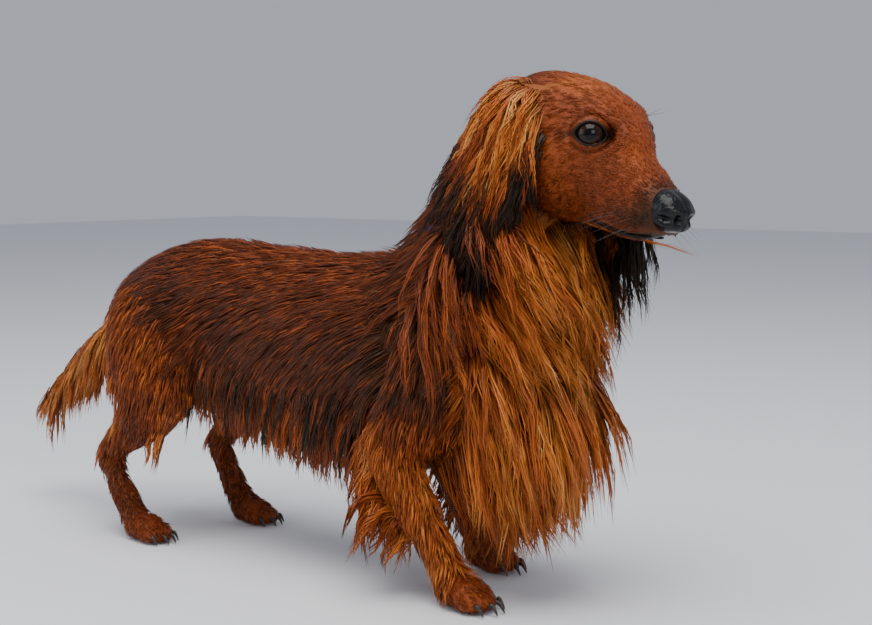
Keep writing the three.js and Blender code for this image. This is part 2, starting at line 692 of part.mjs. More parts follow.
const dog = new THREE.Group();
for (const [name, made] of Object.entries(flesh)) {
  const mesh = new THREE.Mesh(geometryOf(made), finishes[name] ?? coat);
  mesh.name = name;
  dog.add(mesh);
}
const extent = new THREE.Box3().setFromObject(dog);
dog.position.set(-(extent.min.x + extent.max.x) / 2, -(extent.min.y + extent.max.y) / 2, 0);

export default dog;
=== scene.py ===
"""A long-haired dachshund, standing, as a life-size still model: one skin under a coat of solid locks."""

import math

import bmesh
import bpy
import numpy as np
from bpy.props import FloatProperty, FloatVectorProperty, IntProperty, PointerProperty
from mathutils import Matrix, Vector
from mathutils.bvhtree import BVHTree


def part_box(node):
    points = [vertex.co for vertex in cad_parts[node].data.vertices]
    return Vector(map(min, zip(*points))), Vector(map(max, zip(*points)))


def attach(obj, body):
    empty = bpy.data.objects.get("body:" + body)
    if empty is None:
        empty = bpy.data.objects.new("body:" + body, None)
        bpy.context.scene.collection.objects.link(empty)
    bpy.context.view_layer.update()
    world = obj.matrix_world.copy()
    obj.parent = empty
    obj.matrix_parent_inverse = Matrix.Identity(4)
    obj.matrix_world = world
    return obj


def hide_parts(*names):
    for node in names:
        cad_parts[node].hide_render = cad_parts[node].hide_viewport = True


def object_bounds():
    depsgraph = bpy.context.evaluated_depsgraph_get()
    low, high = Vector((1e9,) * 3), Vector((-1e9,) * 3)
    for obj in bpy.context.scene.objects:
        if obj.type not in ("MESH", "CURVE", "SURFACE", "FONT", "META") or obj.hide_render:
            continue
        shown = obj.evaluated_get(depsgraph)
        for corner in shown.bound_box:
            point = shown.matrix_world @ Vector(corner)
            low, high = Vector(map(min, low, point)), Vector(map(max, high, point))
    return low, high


bl_info = {
    "name": "Long-haired dachshund",
    "version": (1, 0, 0),
    "blender": (4, 5, 0),
    "location": "View3D > Sidebar > Dachshund",
    "description": "Builds the skin, the coat, the eyes, the nose, the claws and the collar of a dachshund",
    "category": "Object",
}

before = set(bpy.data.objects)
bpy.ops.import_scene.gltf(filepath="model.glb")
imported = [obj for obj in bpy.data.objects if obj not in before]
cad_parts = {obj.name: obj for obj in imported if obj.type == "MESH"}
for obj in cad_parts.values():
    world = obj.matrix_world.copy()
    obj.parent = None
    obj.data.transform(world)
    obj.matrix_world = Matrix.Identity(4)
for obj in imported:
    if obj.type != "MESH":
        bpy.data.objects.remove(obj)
cad_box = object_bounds()

MM = 0.001
BODY = "root"
SIDES = (-1, 1)

# The head's place, turn and features, in its own frame
HEAD_AT = (248, -2, 322)
HEAD_YAW, HEAD_PITCH, HEAD_ROLL = -18, 14, -3
EYE_AT = (38.5, 21.2, 18)
EYE_FACING = (0.71, 0.68, 0.14)
EYE_RADIUS = 10.8
LID_HALF = (10.2, 8.1)
# Reach of the lower lid, how pointed the corners are, and the rim's size, against the upper lid's
LOWER_LID, LID_POINT, RIM_SCALE = 0.86, 0.35, 1.03
LID_TILT = 8
MOUTH = ((48, -34), (56, -36), (70, -37), (86, -36.5), (102, -32.5))


def head_matrix():
    """The head's place and turn in the dog's own frame, in millimetres."""
    turn = (
        Matrix.Rotation(math.radians(HEAD_YAW), 4, "Z")
        @ Matrix.Rotation(math.radians(HEAD_PITCH), 4, "Y")
        @ Matrix.Rotation(math.radians(HEAD_ROLL), 4, "X")
    )
    return Matrix.Translation(HEAD_AT) @ turn


HEAD = head_matrix()
HEAD_TURN = np.array(HEAD.to_3x3())
HEAD_LEFT = HEAD_TURN @ np.array((0, 1.0, 0))


def frame_shift():
    """From the dog's own frame to the frame of the solids, found from where the right eye lies."""
    low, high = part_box("eye_right")
    own = HEAD @ Vector((EYE_AT[0], -EYE_AT[1], EYE_AT[2]))
    return (low + high) / 2 / MM - own


SHIFT = frame_shift()
SHIFT.z = 0


def on_head(points):
    """Points of the head's frame in the dog's own frame."""
    return np.asarray(points, float) @ HEAD_TURN.T + np.array(HEAD_AT)


def to_head(points):
    """Points of the dog's own frame in the head's frame."""
    return (np.asarray(points, float) - np.array(HEAD_AT)) @ HEAD_TURN


def unit(vectors):
    return vectors / np.maximum(np.linalg.norm(vectors, axis=-1, keepdims=True), 1e-9)


def smooth_step(value, low, high):
    share = np.clip((value - low) / (high - low), 0, 1)
    return share * share * (3 - 2 * share)


def bell(value, middle, width):
    return np.exp(-(((value - middle) / width) ** 2))


def spline(rows, t):
    """A smooth curve through evenly spaced rows of numbers, at shares t of its length."""
    rows = np.asarray(rows, float)
    last = len(rows) - 1
    place = np.clip(np.asarray(t, float), 0, 1) * last
    i = np.minimum(place.astype(int), last - 1)
    f = (place - i)[..., None]
    a = rows[np.maximum(i - 1, 0)] * 1.0
    b, c = rows[i], rows[i + 1]
    d = rows[np.minimum(i + 2, last)]
    a = np.where((i == 0)[..., None], 2 * b - c, a)
    d = np.where((i == last - 1)[..., None], 2 * c - b, d)
    return 0.5 * (2 * b + (c - a) * f + (2 * a - 5 * b + 4 * c - d) * f**2 + (3 * b - a - 3 * c + d) * f**3)


# Half the stretch over which a path's direction is measured
PATH_STEP = 0.004


class Form:
    """A form whose cross-sections follow a smooth path.

    A station holds the centre, the half width, the reach up and the reach down.
    """

    def __init__(self, name, stations, depth, across=(0, 1, 0), square=2.0, cap=0.45, cup=None):
        self.name = name
        self.centres = np.array([s[0] for s in stations], float)
        self.reaches = np.array([s[1:] for s in stations], float)
        self.depth = depth
        self.across = np.array(across, float)
        self.square = square
        self.cap = cap
        self.cup = cup

    def frames(self, t):
        centre = spline(self.centres, t)
        t = np.asarray(t)
        along = unit(spline(self.centres, t + PATH_STEP) - spline(self.centres, t - PATH_STEP))
        side = unit(self.across - along * (along @ self.across)[..., None])
        return centre, along, side, np.cross(along, side), spline(self.reaches, t)

    def at(self, t, angle, margin=0.0, shrink=1.0, push=0.0):
        """The surface at a share t of the path and an angle round it.

        The angle is 0 on the left and a quarter turn on top.
        """
        centre, along, side, up, reach = self.frames(t)
        power = 2 / self.square
        c = np.sign(np.cos(angle)) * np.abs(np.cos(angle)) ** power * (reach[..., 0] + margin) * shrink
        rise = np.where(np.sin(angle) > 0, reach[..., 1], reach[..., 2]) + margin
        s = np.sign(np.sin(angle)) * np.abs(np.sin(angle)) ** power * rise * shrink
        p = centre + side * c[..., None] + up * s[..., None] + along * np.asarray(push)[..., None]
        if self.cup is not None:
            p = p + self.cup * ((c / reach[..., 0]) ** 2)[..., None]
        return p

    def loft(self, bm, sides=32, rows=8):
        """Adds the form to a mesh, drawn in by the depth of the coat."""
        start, end = (self.cap * min(r[0], r[1] + r[2]) for r in (self.reaches[0], self.reaches[-1]))
        rings = [(0, math.sqrt(1 - k * k), -start * k) for k in (1, 0.85, 0.5, 0)]
        count = rows * (len(self.centres) - 1)
        rings += [(i / count, 1, 0) for i in range(1, count)]
        rings += [(1, math.sqrt(1 - k * k), end * k) for k in (0, 0.5, 0.85, 1)]
        made = bmesh.ops.create_uvsphere(bm, u_segments=sides, v_segments=len(rings) - 1, radius=1)["verts"]
        co = np.array([v.co for v in made])
        row = np.rint(np.arccos(np.clip(co[:, 2], -1, 1)) / math.pi * (len(rings) - 1)).astype(int)
        t, shrink, push = np.array(rings, float)[row].T
        angle = np.arctan2(co[:, 1], co[:, 0])
        for vert, p in zip(made, self.at(t, angle, -self.depth, shrink, push)):
            vert.co = p

    def locate(self, points, samples=60):
        """For each point its share along the path, its angle round it, and how far out it lies."""
        ts = np.linspace(0, 1, samples)
        centre, along, side, up, reach = self.frames(ts)
        nearest = np.empty(len(points), int)
        for start in range(0, len(points), 20000):
            part = points[start : start + 20000]
            gap = ((part[:, None, :] - centre[None]) ** 2).sum(-1)
            nearest[start : start + 20000] = gap.argmin(1)
        d = points - centre[nearest]
        if self.cup is not None:
            c = (d * side[nearest]).sum(-1) / reach[nearest, 0]
            d = d - self.cup * np.clip(c * c, 0, 1.2)[:, None]
        c = (d * side[nearest]).sum(-1) / reach[nearest, 0]
        s = (d * up[nearest]).sum(-1)
        s = s / np.where(s > 0, reach[nearest, 1], reach[nearest, 2])
        a = (d * along[nearest]).sum(-1) / reach[nearest, 0]
        return ts[nearest], np.arctan2(s, c), np.sqrt(c * c + s * s + a * a)


def sections(table):
    """Stations of a form that runs along x, from (x, top, bottom, half) rows."""
    return [((x, 0, (top + low) / 2), half, (top - low) / 2, (top - low) / 2) for x, top, low, half in table]


def head_sections(table):
    return [(tuple(on_head([s[0]])[0]), *s[1:]) for s in sections(table)]


TRUNK = (
    (-206, 184, 144, 25), (-194, 204, 127, 41), (-169, 228, 116, 54), (-132, 246, 114, 60),
    (-90, 254, 114, 61), (-35, 250, 104, 64), (35, 247, 90, 67), (100, 247, 83, 67),
    (150, 242, 82, 65), (196, 224, 90, 58), (229, 199, 114, 41),
)
NECK = (
    ((120, 0, 172), 54, 58, 66), ((150, 0, 212), 52, 55, 67), ((172, 3, 250), 48, 48, 61),
    ((190, 7, 285), 44, 43, 52), ((205, 10, 320), 40, 36, 40),
)
SKULL = (
    (-68, 29, -12, 18), (-56, 41, -30, 32), (-38, 49, -41, 40), (-16, 51.5, -47, 43),
    (8, 51, -49, 41), (28, 46.5, -48, 35.5), (43, 36, -47, 29.5), (57, 21, -45, 25),
    (72, 11.5, -44, 23), (87, 5, -41.5, 21.5), (100, 0.5, -36.5, 18.5),
)
NOSE = ((93, -2.5, -24, 11), (100, -2, -27, 14), (109, -5, -28.5, 13.4), (116, -10, -26, 9.5))
# Rises and hollows on both sides: height, middle and radii
FACE_RELIEF = (
    (2.2, (14, 37, -6), (22, 14, 13)), (2.4, (35, 18, 34), (10, 8, 6)), (-3.2, (55, 17, 8), (12, 11, 11)),
    (-2.6, (42, 0, 38), (18, 7, 12)), (1.5, (84, 19, -29), (16, 9, 6)), (1.0, (60, 23, -26), (10, 10, 8)),
    (-1.4, (76, 20, -10), (18, 9, 8)), (1.2, (80, 12, 4), (8, 5, 6)), (1.5, (-60, 0, 22), (10, 12, 14)),
    (-1.5, (38, 30, -30), (12, 10, 10)),
)
NOSE_RELIEF = (
    (-6.5, (117, 6, -17.2), (6, 3.4, 3.2)), (-3.4, (111, 12.4, -18.8), (5, 4, 1.9)),
    (1.0, (113, 9.6, -13), (5, 3.6, 2.6)), (0.8, (113, 11, -22.6), (4, 3, 2.6)),
    (-1.3, (117, 0, -20), (6, 0.9, 9)), (-0.7, (109, 0, -3), (8, 2.6, 5)),
)
EAR = (
    ((-20, 36, 37), 19), ((-21, 46, 22), 25), ((-24, 52, -4), 32),
    ((-26, 55, -34), 33), ((-26, 55, -62), 24), ((-24, 54, -78), 10),
)
TAIL = (
    ((-180, 0, 192), 17, 17, 17), ((-216, 1, 173), 14, 14, 14), ((-254, 3, 150), 12, 12, 11),
    ((-292, 6, 125), 9.5, 10, 9), ((-324, 9, 103), 7, 7, 7), ((-344, 10, 86), 4, 4, 4),
)
HIND_LEG = {
    "thigh": (
        (-150, 32, 194, 0, 29, 46, 42), (-136, 42, 166, 0.1, 31, 52, 50),
        (-120, 51, 138, 0.3, 27, 44, 46), (-106, 55, 114, 0.4, 20, 26, 32),
    ),
    "shank": (
        (-106, 55, 128, 0.35, 19, 24, 28), (-134, 55, 106, 0.5, 18, 23, 25),
        (-166, 53, 84, 0.8, 14, 15, 17), (-188, 52, 68, 0.95, 11, 12, 12),
    ),
    "pastern": (
        (-189, 52, 70, 0.95, 11, 12, 12), (-176, 51, 44, 1, 11.5, 12, 12), (-158, 50, 18, 1, 13.5, 12, 13),
    ),
    "foot": ((-160, 50, 12, 1, 13.5, 12, 14), (-140, 50, 12, 1, 16, 12, 14)),
}
FORE_LEG = {
    "arm": (
        (158, 40, 200, 0, 26, 36, 38), (166, 50, 165, 0, 28, 32, 36),
        (148, 56, 132, 0.1, 25, 28, 32), (130, 58, 106, 0.2, 19, 20, 24),
    ),
    "forearm": (
        (122, 59, 122, 0.2, 18, 20, 20), (132, 59, 96, 0.3, 18, 20, 20),
        (143, 55, 62, 0.6, 15, 15, 15), (151, 50, 36, 0.85, 14, 13, 13), (157, 48, 16, 0.95, 15, 13, 13),
    ),
    "foot": ((156, 48, 13, 1, 15, 13, 14), (172, 48, 13, 1, 18, 13, 14)),
}
# Legs: segments, side, how far ahead the foot stands, middle of the toes and their size
LEGS = {
    "hind_right": (HIND_LEG, -1, 8, (-134, 50), 0.92),
    "hind_left": (HIND_LEG, 1, 34, (-134, 50), 0.92),
    "fore_right": (FORE_LEG, -1, 24, (176, 48), 1.0),
    "fore_left": (FORE_LEG, 1, -22, (176, 48), 1.0),
}
LEG_DEPTH = {"thigh": 6, "shank": 4, "pastern": 2.5, "foot": 2, "arm": 6, "forearm": 3.5}
TOE_RADIUS, TOE_SPREAD = 8.2, 8.6


def toe_places():
    """Each toe's middle, radius and leg."""
    for leg, (_, side, ahead, (x, y), size) in LEGS.items():
        for place in (-1.5, -0.5, 0.5, 1.5):
            front = 6 * size if abs(place) < 1 else 0
            yield leg, (x + ahead + front, side * y + place * TOE_SPREAD * size), TOE_RADIUS * size


def ear_form(side):
    lean = 0.24 if side > 0 else 0
    first = EAR[0][0][2]
    stations = [
        (tuple(on_head([(at[0] + lean * (first - at[2]), side * at[1], at[2])])[0]), half, 3.1, 3.1)
        for at, half in EAR
    ]
    inward = -side * HEAD_LEFT
    across = HEAD_TURN @ np.array((-side, 0, 0.0))
    return Form("ear_" + ("left" if side > 0 else "right"), stations, 0.4, across, cap=0.4, cup=inward * 9)


def all_forms():
    forms = {
        "trunk": Form("trunk", sections(TRUNK), 7, square=2.15),
        "neck": Form("neck", NECK, 7),
        "skull": Form("skull", head_sections(SKULL), 1.5, HEAD_LEFT, square=2.2),
        "tail": Form("tail", TAIL, 3.2),
        "ear_right": ear_form(-1),
        "ear_left": ear_form(1),
    }
    for leg, (segments, side, ahead, _, _) in LEGS.items():
        for part, rows in segments.items():
            stations = [((x + ahead * share, side * y, z), *reach) for x, y, z, share, *reach in rows]
            name = f"{leg}_{part}"
            forms[name] = Form(name, stations, LEG_DEPTH[part])
    return forms


FORMS = all_forms()
NAMES = list(FORMS)


def pack_points(points):
    """Millimetres of the dog's own frame to metres of the solids' frame."""
    return (np.asarray(points) + np.array(SHIFT)) * MM


def add_object(name, data):
    thing = bpy.data.objects.new(name, data)
    bpy.context.scene.collection.objects.link(thing)
    return thing


def mesh_from(bm, name):
    mesh = bpy.data.meshes.new(name)
    bm.to_mesh(mesh)
    bm.free()
    return mesh


def place(name, bm, material, slot, *nodes):
    """Turns a mesh in the dog's own millimetres into a finished piece."""
    bmesh.ops.translate(bm, verts=bm.verts, vec=SHIFT)
    bmesh.ops.scale(bm, verts=bm.verts, vec=(MM, MM, MM))
    return add_piece(name, mesh_from(bm, name), material, slot, *nodes)


def add_piece(name, mesh, material, slot, *nodes):
    mesh.shade_smooth()
    mesh.materials.append(material)
    piece = add_object(name, mesh)
    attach(piece, BODY)
    if nodes:
        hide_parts(*nodes)
    return piece


def ring_tube(bm, points, sizes, outward, closed=False, sides=8):
    """A tube along points. sizes holds its half width and half thickness at each point."""
    points = np.asarray(points, float)
    if closed:
        along = np.roll(points, -1, 0) - np.roll(points, 1, 0)
    else:
        along = np.gradient(points, axis=0)
    along = unit(along)
    rings = []
    for p, way, out, (wide, thick) in zip(points, along, outward, sizes):
        side = unit(np.cross(way, out))
        face = np.cross(side, way)
        made = bmesh.ops.create_circle(bm, segments=sides, radius=1)["verts"]
        for vert in made:
            vert.co = p + side * vert.co.x * wide + face * vert.co.y * thick
        rings.append(list({e for vert in made for e in vert.link_edges}))
    pairs = list(zip(rings, rings[1:])) + ([(rings[-1], rings[0])] if closed else [])
    for one, two in pairs:
        bmesh.ops.bridge_loops(bm, edges=one + two)
    if not closed:
        bmesh.ops.holes_fill(bm, edges=rings[0] + rings[-1], sides=sides)
    bmesh.ops.recalc_face_normals(bm, faces=bm.faces)


# Markings of the coat


def fold(angle):
    """An angle round a form as degrees from its top: 0 on top, 90 on either side, 180 below."""
    return np.degrees(np.abs((angle - math.pi / 2 + math.pi) % (2 * math.pi) - math.pi))


def zones(points):
    """For each point which form it belongs to, and where on it."""
    best = np.full(len(points), 1e9)
    which = np.zeros(len(points), int)
    share = np.zeros(len(points))
    turn = np.zeros(len(points))
    for i, name in enumerate(NAMES):
        t, angle, out = FORMS[name].locate(points)
        if name.startswith("ear"):
            out = out * 0.8
        closer = out < best
        best[closer], which[closer] = out[closer], i
        share[closer], turn[closer] = t[closer], angle[closer]
    return which, share, turn


def hump(points, centre, radii):
    return np.exp(-(((points - np.array(centre)) / np.array(radii)) ** 2).sum(-1))


def folded(head_points):
    """Points of the head with its left side laid over its right."""
    return head_points * np.array((1, 0, 1)) + np.abs(head_points) * np.array((0, 1, 0))


def relief(points, table):
    return sum(height * hump(points, centre, radii) for height, centre, radii in table)


def eye_frame(side):
    """The eye's own frame in the head: z looks out of the head and y is up."""
    out = Vector((EYE_FACING[0], EYE_FACING[1] * side, EYE_FACING[2])).normalized()
    across = Vector((0, 0, 1)).cross(out).normalized()
    across = Matrix.Rotation(math.radians(-LID_TILT * side), 3, out) @ across
    up = out.cross(across)
    turn = Matrix((across, up, out)).transposed()
    return np.array(turn), np.array((EYE_AT[0], EYE_AT[1] * side, EYE_AT[2]))


def in_eye(head_points, side):
    turn, at = eye_frame(side)
    return (head_points - at) @ turn


def lid_share(eye_points):
    """1 on the edge of the opening between the lids, less inside it."""
    x = eye_points[:, 0] / LID_HALF[0]
    y = eye_points[:, 1] / np.where(eye_points[:, 1] > 0, LID_HALF[1], LID_HALF[1] * LOWER_LID)
    return np.sqrt(x * x + np.abs(y) ** 2 * (1 + LID_POINT * x * x))


def mouth_gap(head_points):
    """How far each point of the head lies above the line of the mouth."""
    line = np.array(MOUTH)
    height = np.interp(head_points[:, 0], line[:, 0], line[:, 1])
    return head_points[:, 2] - height


# Lighter and darker places of the face, as in the relief. The paler crown is partly a painted highlight from
# the top light, and the darker spots in front of the eyes and on the sides of the muzzle are partly painted
# shade.
FACE_TONES = (
    (0.15, (12, 8, 52), (32, 24, 15)), (0.09, (68, 9, 10), (14, 9, 8)), (0.05, (24, 36, -14), (24, 16, 20)),
    (-0.13, (50, 13, 20), (8, 8, 8)), (-0.14, (86, 20, -24), (17, 14, 9)), (0.2, (66, 10, -47), (34, 20, 6)),
)
LEG_TONES = {"thigh": 0.5, "shank": 0.46, "pastern": 0.42, "forearm": 0.6}


def trunk_tone(x, b):
    """Dark behind the shoulders, on the hips and along the flanks, orange on the chest."""
    tone = 0.43 - 0.10 * bell(b, 84, 30)
    tone -= 0.10 * bell(x, 140, 45) * bell(b, 88, 35)
    tone -= 0.11 * bell(x, -130, 36) * bell(b, 75, 28)
    tone += 0.13 * smooth_step(b, 100, 140)
    chest = smooth_step(x, 165, 212) * smooth_step(b, 30, 80)
    return tone * (1 - chest) + 0.68 * chest


def face_tone(h):
    """Red, paler on the crown partly as a painted highlight, and black round the eyes, along the lips and by
    the nose.
    """
    tone = 0.45 + relief(folded(h), FACE_TONES)
    tone -= 0.24 * smooth_step(h[:, 0], 84, 102) * smooth_step(h[:, 2], -34, -24)
    for side in SIDES:
        e = in_eye(h, side)
        near = np.maximum(lid_share(e) - 1, 0) * 8
        near = np.where(e[:, 2] > 0, near, 30)
        tone -= 0.42 * bell(near, 0, 1.3)
        tail_line = np.exp(-(((h[:, 0] - 26) / 8) ** 2 + ((h[:, 2] - 15.5) / 1.8) ** 2))
        tone -= 0.2 * np.where(h[:, 1] * side > 0, tail_line, 0)
    return tone - 0.36 * bell(mouth_gap(h), 0, 2.2) * smooth_step(h[:, 0], 42, 52)


def ear_tone(share, turn, front):
    """Orange, with a black front edge and black ends."""
    leading = 0.5 + 0.5 * np.cos(turn - front)
    edge = smooth_step(leading, 0.9, 0.97) * smooth_step(share, 0.08, 0.2)
    return 0.68 - 0.6 * edge - 0.4 * smooth_step(share, 0.45, 0.9)


def markings(points, which, share, turn):
    """Tone of the coat: 0 black, 0.16 seal, 0.34 mahogany, 0.5 red, 0.66 orange, 0.82 gold, 1 cream."""
    b = fold(turn)
    names = np.array(NAMES)[which]
    x, _, z = points.T
    tone = np.where(names == "trunk", trunk_tone(x, b), 0.4)
    tone = np.where(names == "neck", 0.38 + 0.3 * smooth_step(b, 75, 125), tone)
    tone = np.where(names == "skull", face_tone(to_head(points)), tone)
    for ear, front in (("ear_right", 0.0), ("ear_left", math.pi)):
        tone = np.where(names == ear, ear_tone(share, turn, front), tone)
    tone = np.where(names == "tail", 0.56 + 0.16 * smooth_step(b, 90, 150), tone)
    for leg in LEGS:
        rear = 0.18 * smooth_step(b, 120, 165) if leg.startswith("hind") else 0.08 * smooth_step(b, 60, 140)
        for part, level in LEG_TONES.items():
            tone = np.where(names == f"{leg}_{part}", level + rear, tone)
        tone = np.where(names == f"{leg}_arm", 0.32 + 0.26 * smooth_step(-z, -165, -120), tone)
        tone = np.where(names == f"{leg}_foot", 0.47, tone)
    return np.clip(tone, 0, 1)


# Materials


def put(tree, kind, inputs=None, **values):
    """Adds a node. Each of its inputs takes a plain value or another node's output."""
    made = tree.nodes.new(kind)
    for key, value in values.items():
        setattr(made, key, value)
    for key, value in (inputs or {}).items():
        if isinstance(value, bpy.types.NodeSocket):
            tree.links.new(value, made.inputs[key])
        else:
            made.inputs[key].default_value = value
    return made


def in_object(tree):
    return put(tree, "ShaderNodeTexCoord").outputs["Object"]


def added(tree, one, two):
    return put(tree, "ShaderNodeMath", {0: one, 1: two}, operation="ADD").outputs[0]


def mapped(tree, value, source, target):
    """Turns one span of values into another."""
    ends = {"From Min": source[0], "From Max": source[1], "To Min": target[0], "To Max": target[1]}
    return put(tree, "ShaderNodeMapRange", {"Value": value, **ends}).outputs["Result"]


def ramped(tree, value, stops):
    """A colour ramp from (position, colour) pairs in rising order."""
    ramp = put(tree, "ShaderNodeValToRGB", {"Fac": value})
    elements = ramp.color_ramp.elements
    elements.remove(elements[-1])
    elements[0].position, elements[0].color = stops[0][0], (*stops[0][1], 1)
    for at, colour in stops[1:]:
        elements.new(at).color = (*colour, 1)
    return ramp.outputs["Color"]


def brightened(colour, factor):
    return [min(1, c * factor) for c in colour]


def dye(tree, shader, value, stops):
    tree.links.new(ramped(tree, value, stops), shader.inputs["Base Color"])


def emboss(tree, shader, height, strength, distance, **values):
    inputs = {"Height": height, "Strength": strength, "Distance": distance}
    bump = put(tree, "ShaderNodeBump", inputs, **values)
    tree.links.new(bump.outputs["Normal"], shader.inputs["Normal"])


def coat_colour_group():
    """Turns a tone, a lock's own random number and the place on the lock into a colour, with painted shade
    darkening it towards the root.
    """
    group = bpy.data.node_groups.new("Red coat colour", "ShaderNodeTree")
    for name in ("Tone", "Random", "Along", "Across"):
        group.interface.new_socket(name, in_out="INPUT", socket_type="NodeSocketFloat")
    group.interface.new_socket("Color", in_out="OUTPUT", socket_type="NodeSocketColor")
    given = put(group, "NodeGroupInput").outputs
    patches = put(group, "ShaderNodeTexNoise", {"Vector": in_object(group), "Scale": 22, "Detail": 3})
    uneven = mapped(group, patches.outputs["Fac"], (0.3, 0.7), (-0.045, 0.045))
    own = mapped(group, given["Random"], (0, 1), (-0.09, 0.09))
    tone = added(group, added(group, given["Tone"], uneven), own)
    start = put(group, "ShaderNodeMath", {0: given["Random"], 1: 61}, operation="MULTIPLY_ADD")
    across = put(
        group, "ShaderNodeMath", {0: given["Across"], 1: 4.5, 2: start.outputs[0]}, operation="MULTIPLY_ADD"
    )
    cell = put(group, "ShaderNodeCombineXYZ", {"X": across.outputs[0], "Y": given["Along"]})
    hairs = put(group, "ShaderNodeTexNoise", {"Vector": cell.outputs[0], "Scale": 1.0, "Detail": 2})
    lines = mapped(group, hairs.outputs["Fac"], (0.25, 0.75), (-0.13, 0.13))
    colours = bpy.context.scene.dachshund_coat
    colour = ramped(group, added(group, tone, lines), (
        (0.0, colours.black), (0.16, colours.seal), (0.34, colours.mahogany), (0.5, colours.red),
        (0.66, colours.orange), (0.82, colours.gold), (1.0, colours.cream),
    ))
    # Painted shade: each lock is darker towards its root, and the skin is darker where the coat covers it
    depth = mapped(group, given["Along"], (0, 0.55), (0.38, 1.0))
    shade = put(group, "ShaderNodeVectorMath", {0: colour, "Scale": depth}, operation="SCALE")
    put(group, "NodeGroupOutput", {"Color": shade.outputs["Vector"]})
    return group


def coat_colour(tree, shader, **inputs):
    """Colours a shader by the tone of each vertex."""
    group = bpy.data.node_groups.get("Red coat colour") or coat_colour_group()
    tone = put(tree, "ShaderNodeAttribute", attribute_name="tone")
    colour = put(tree, "ShaderNodeGroup", {"Tone": tone.outputs["Fac"], **inputs}, node_tree=group)
    tree.links.new(colour.outputs["Color"], shader.inputs["Base Color"])


def new_material(name, roughness, **sockets):
    material = bpy.data.materials.new(name)
    material.use_nodes = True
    shader = material.node_tree.nodes["Principled BSDF"]
    shader.inputs["Roughness"].default_value = roughness
    for key, value in sockets.items():
        shader.inputs[key.replace("_", " ")].default_value = value
    return material, shader


def coat_material():
    """Hair. Its tone, its random number and the place on the lock come from the piece's attributes."""
    if "Coat hair" in bpy.data.materials:
        return bpy.data.materials["Coat hair"]
    material, shader = new_material(
        "Coat hair", 0.38, Specular_IOR_Level=0.4, Specular_Tint=(1, 0.72, 0.5, 1)
    )
    tree = material.node_tree
    strand = put(tree, "ShaderNodeAttribute", attribute_name="strand")
    split = put(tree, "ShaderNodeSeparateXYZ", {0: strand.outputs["Vector"]}).outputs
    # The place along the lock also sets its painted shade, darker at the root
    coat_colour(tree, shader, Along=split["X"], Random=split["Y"], Across=split["Z"])
    return material


def skin_material():
    """Skin with short flat fur, in the same markings as the coat."""
    material, shader = new_material(
        "Short fur", 0.5, Specular_IOR_Level=0.3, Specular_Tint=(1, 0.75, 0.55, 1)
    )
    tree = material.node_tree
    turn = tuple(math.radians(a) for a in (HEAD_ROLL, HEAD_PITCH, HEAD_YAW))
    lie = put(
        tree, "ShaderNodeMapping", {"Vector": in_object(tree), "Rotation": turn, "Scale": (5, 1, 1)},
        vector_type="TEXTURE",
    )
    streak = put(tree, "ShaderNodeTexNoise", {"Vector": lie.outputs["Vector"], "Scale": 900, "Detail": 4})
    emboss(tree, shader, streak.outputs["Fac"], 0.9, 0.0008)
    # Painted shade: an attribute of the skin darkens it, most where the coat covers it
    skin_shade = put(tree, "ShaderNodeAttribute", attribute_name="skin_shade")
    coat_colour(tree, shader, Random=streak.outputs["Fac"], Along=skin_shade.outputs["Fac"])
    return material


# The skin


def remeshed(bm, voxel):
    """One closed surface round all forms of a mesh."""
    mesh = mesh_from(bm, "forms")
    work = add_object("forms", mesh)
    remesh = work.modifiers.new("one surface", "REMESH")
    remesh.mode = "VOXEL"
    remesh.voxel_size = voxel
    remesh.adaptivity = 0
    bpy.context.view_layer.update()
    depsgraph = bpy.context.evaluated_depsgraph_get()
    result = bmesh.new()
    result.from_mesh(work.evaluated_get(depsgraph).to_mesh())
    bpy.data.objects.remove(work)
    bpy.data.meshes.remove(mesh)
    return result


def refine(bm, inside):
    """Splits the faces whose middle lies inside a zone."""
    centres = np.array([f.calc_center_median() for f in bm.faces])
    chosen = inside(centres)
    edges = {e for f, pick in zip(bm.faces, chosen) if pick for e in f.edges}
    bmesh.ops.subdivide_edges(bm, edges=list(edges), cuts=1, use_grid_fill=True)


def coordinates(bm):
    return np.array([v.co for v in bm.verts])


def set_coordinates(bm, points):
    for vert, point in zip(bm.verts, points):
        vert.co = point


def normals_of(bm):
    bm.normal_update()
    return np.array([v.normal for v in bm.verts])


def soften(bm, verts, rounds):
    for _ in range(rounds):
        bmesh.ops.smooth_vert(
            bm, verts=verts, factor=0.5, use_axis_x=True, use_axis_y=True, use_axis_z=True
        )


def set_values(mesh, name, values):
    """Writes one number for each vertex, for the materials."""
    mesh.attributes.new(name, "FLOAT", "POINT").data.foreach_set("value", values.astype(np.float32))


def head_zone(points, back=-64, side=46, top=58):
    h = to_head(points)
    return (h[:, 0] > back) & (h[:, 0] < 112) & (np.abs(h[:, 1]) < side) & (np.abs(h[:, 2]) < top)


def face_zone(points):
    """The face from the eyes forward, without the nape."""
    return head_zone(points, 8, 44, 56)


def paw_zone(points):
    return points[:, 2] < 26


def head_relief(h):
    """How far the face rises or sinks along its surface, over the plain form of the skull."""
    p = folded(h)
    rise = relief(p, FACE_RELIEF)
    gap = mouth_gap(h)
    front = smooth_step(h[:, 0], 43, 51)
    rise -= 2.2 * bell(gap, 0, 1.8) * front
    rise += 1.3 * bell(gap, 3.6, 2.6) * front
    rise -= 0.9 * smooth_step(-gap, 0.4, 2.2) * (1 - smooth_step(-gap, 9, 16)) * front
    rise += 2.2 * hump(p, (74, 0, -46), (26, 15, 7))
    return rise


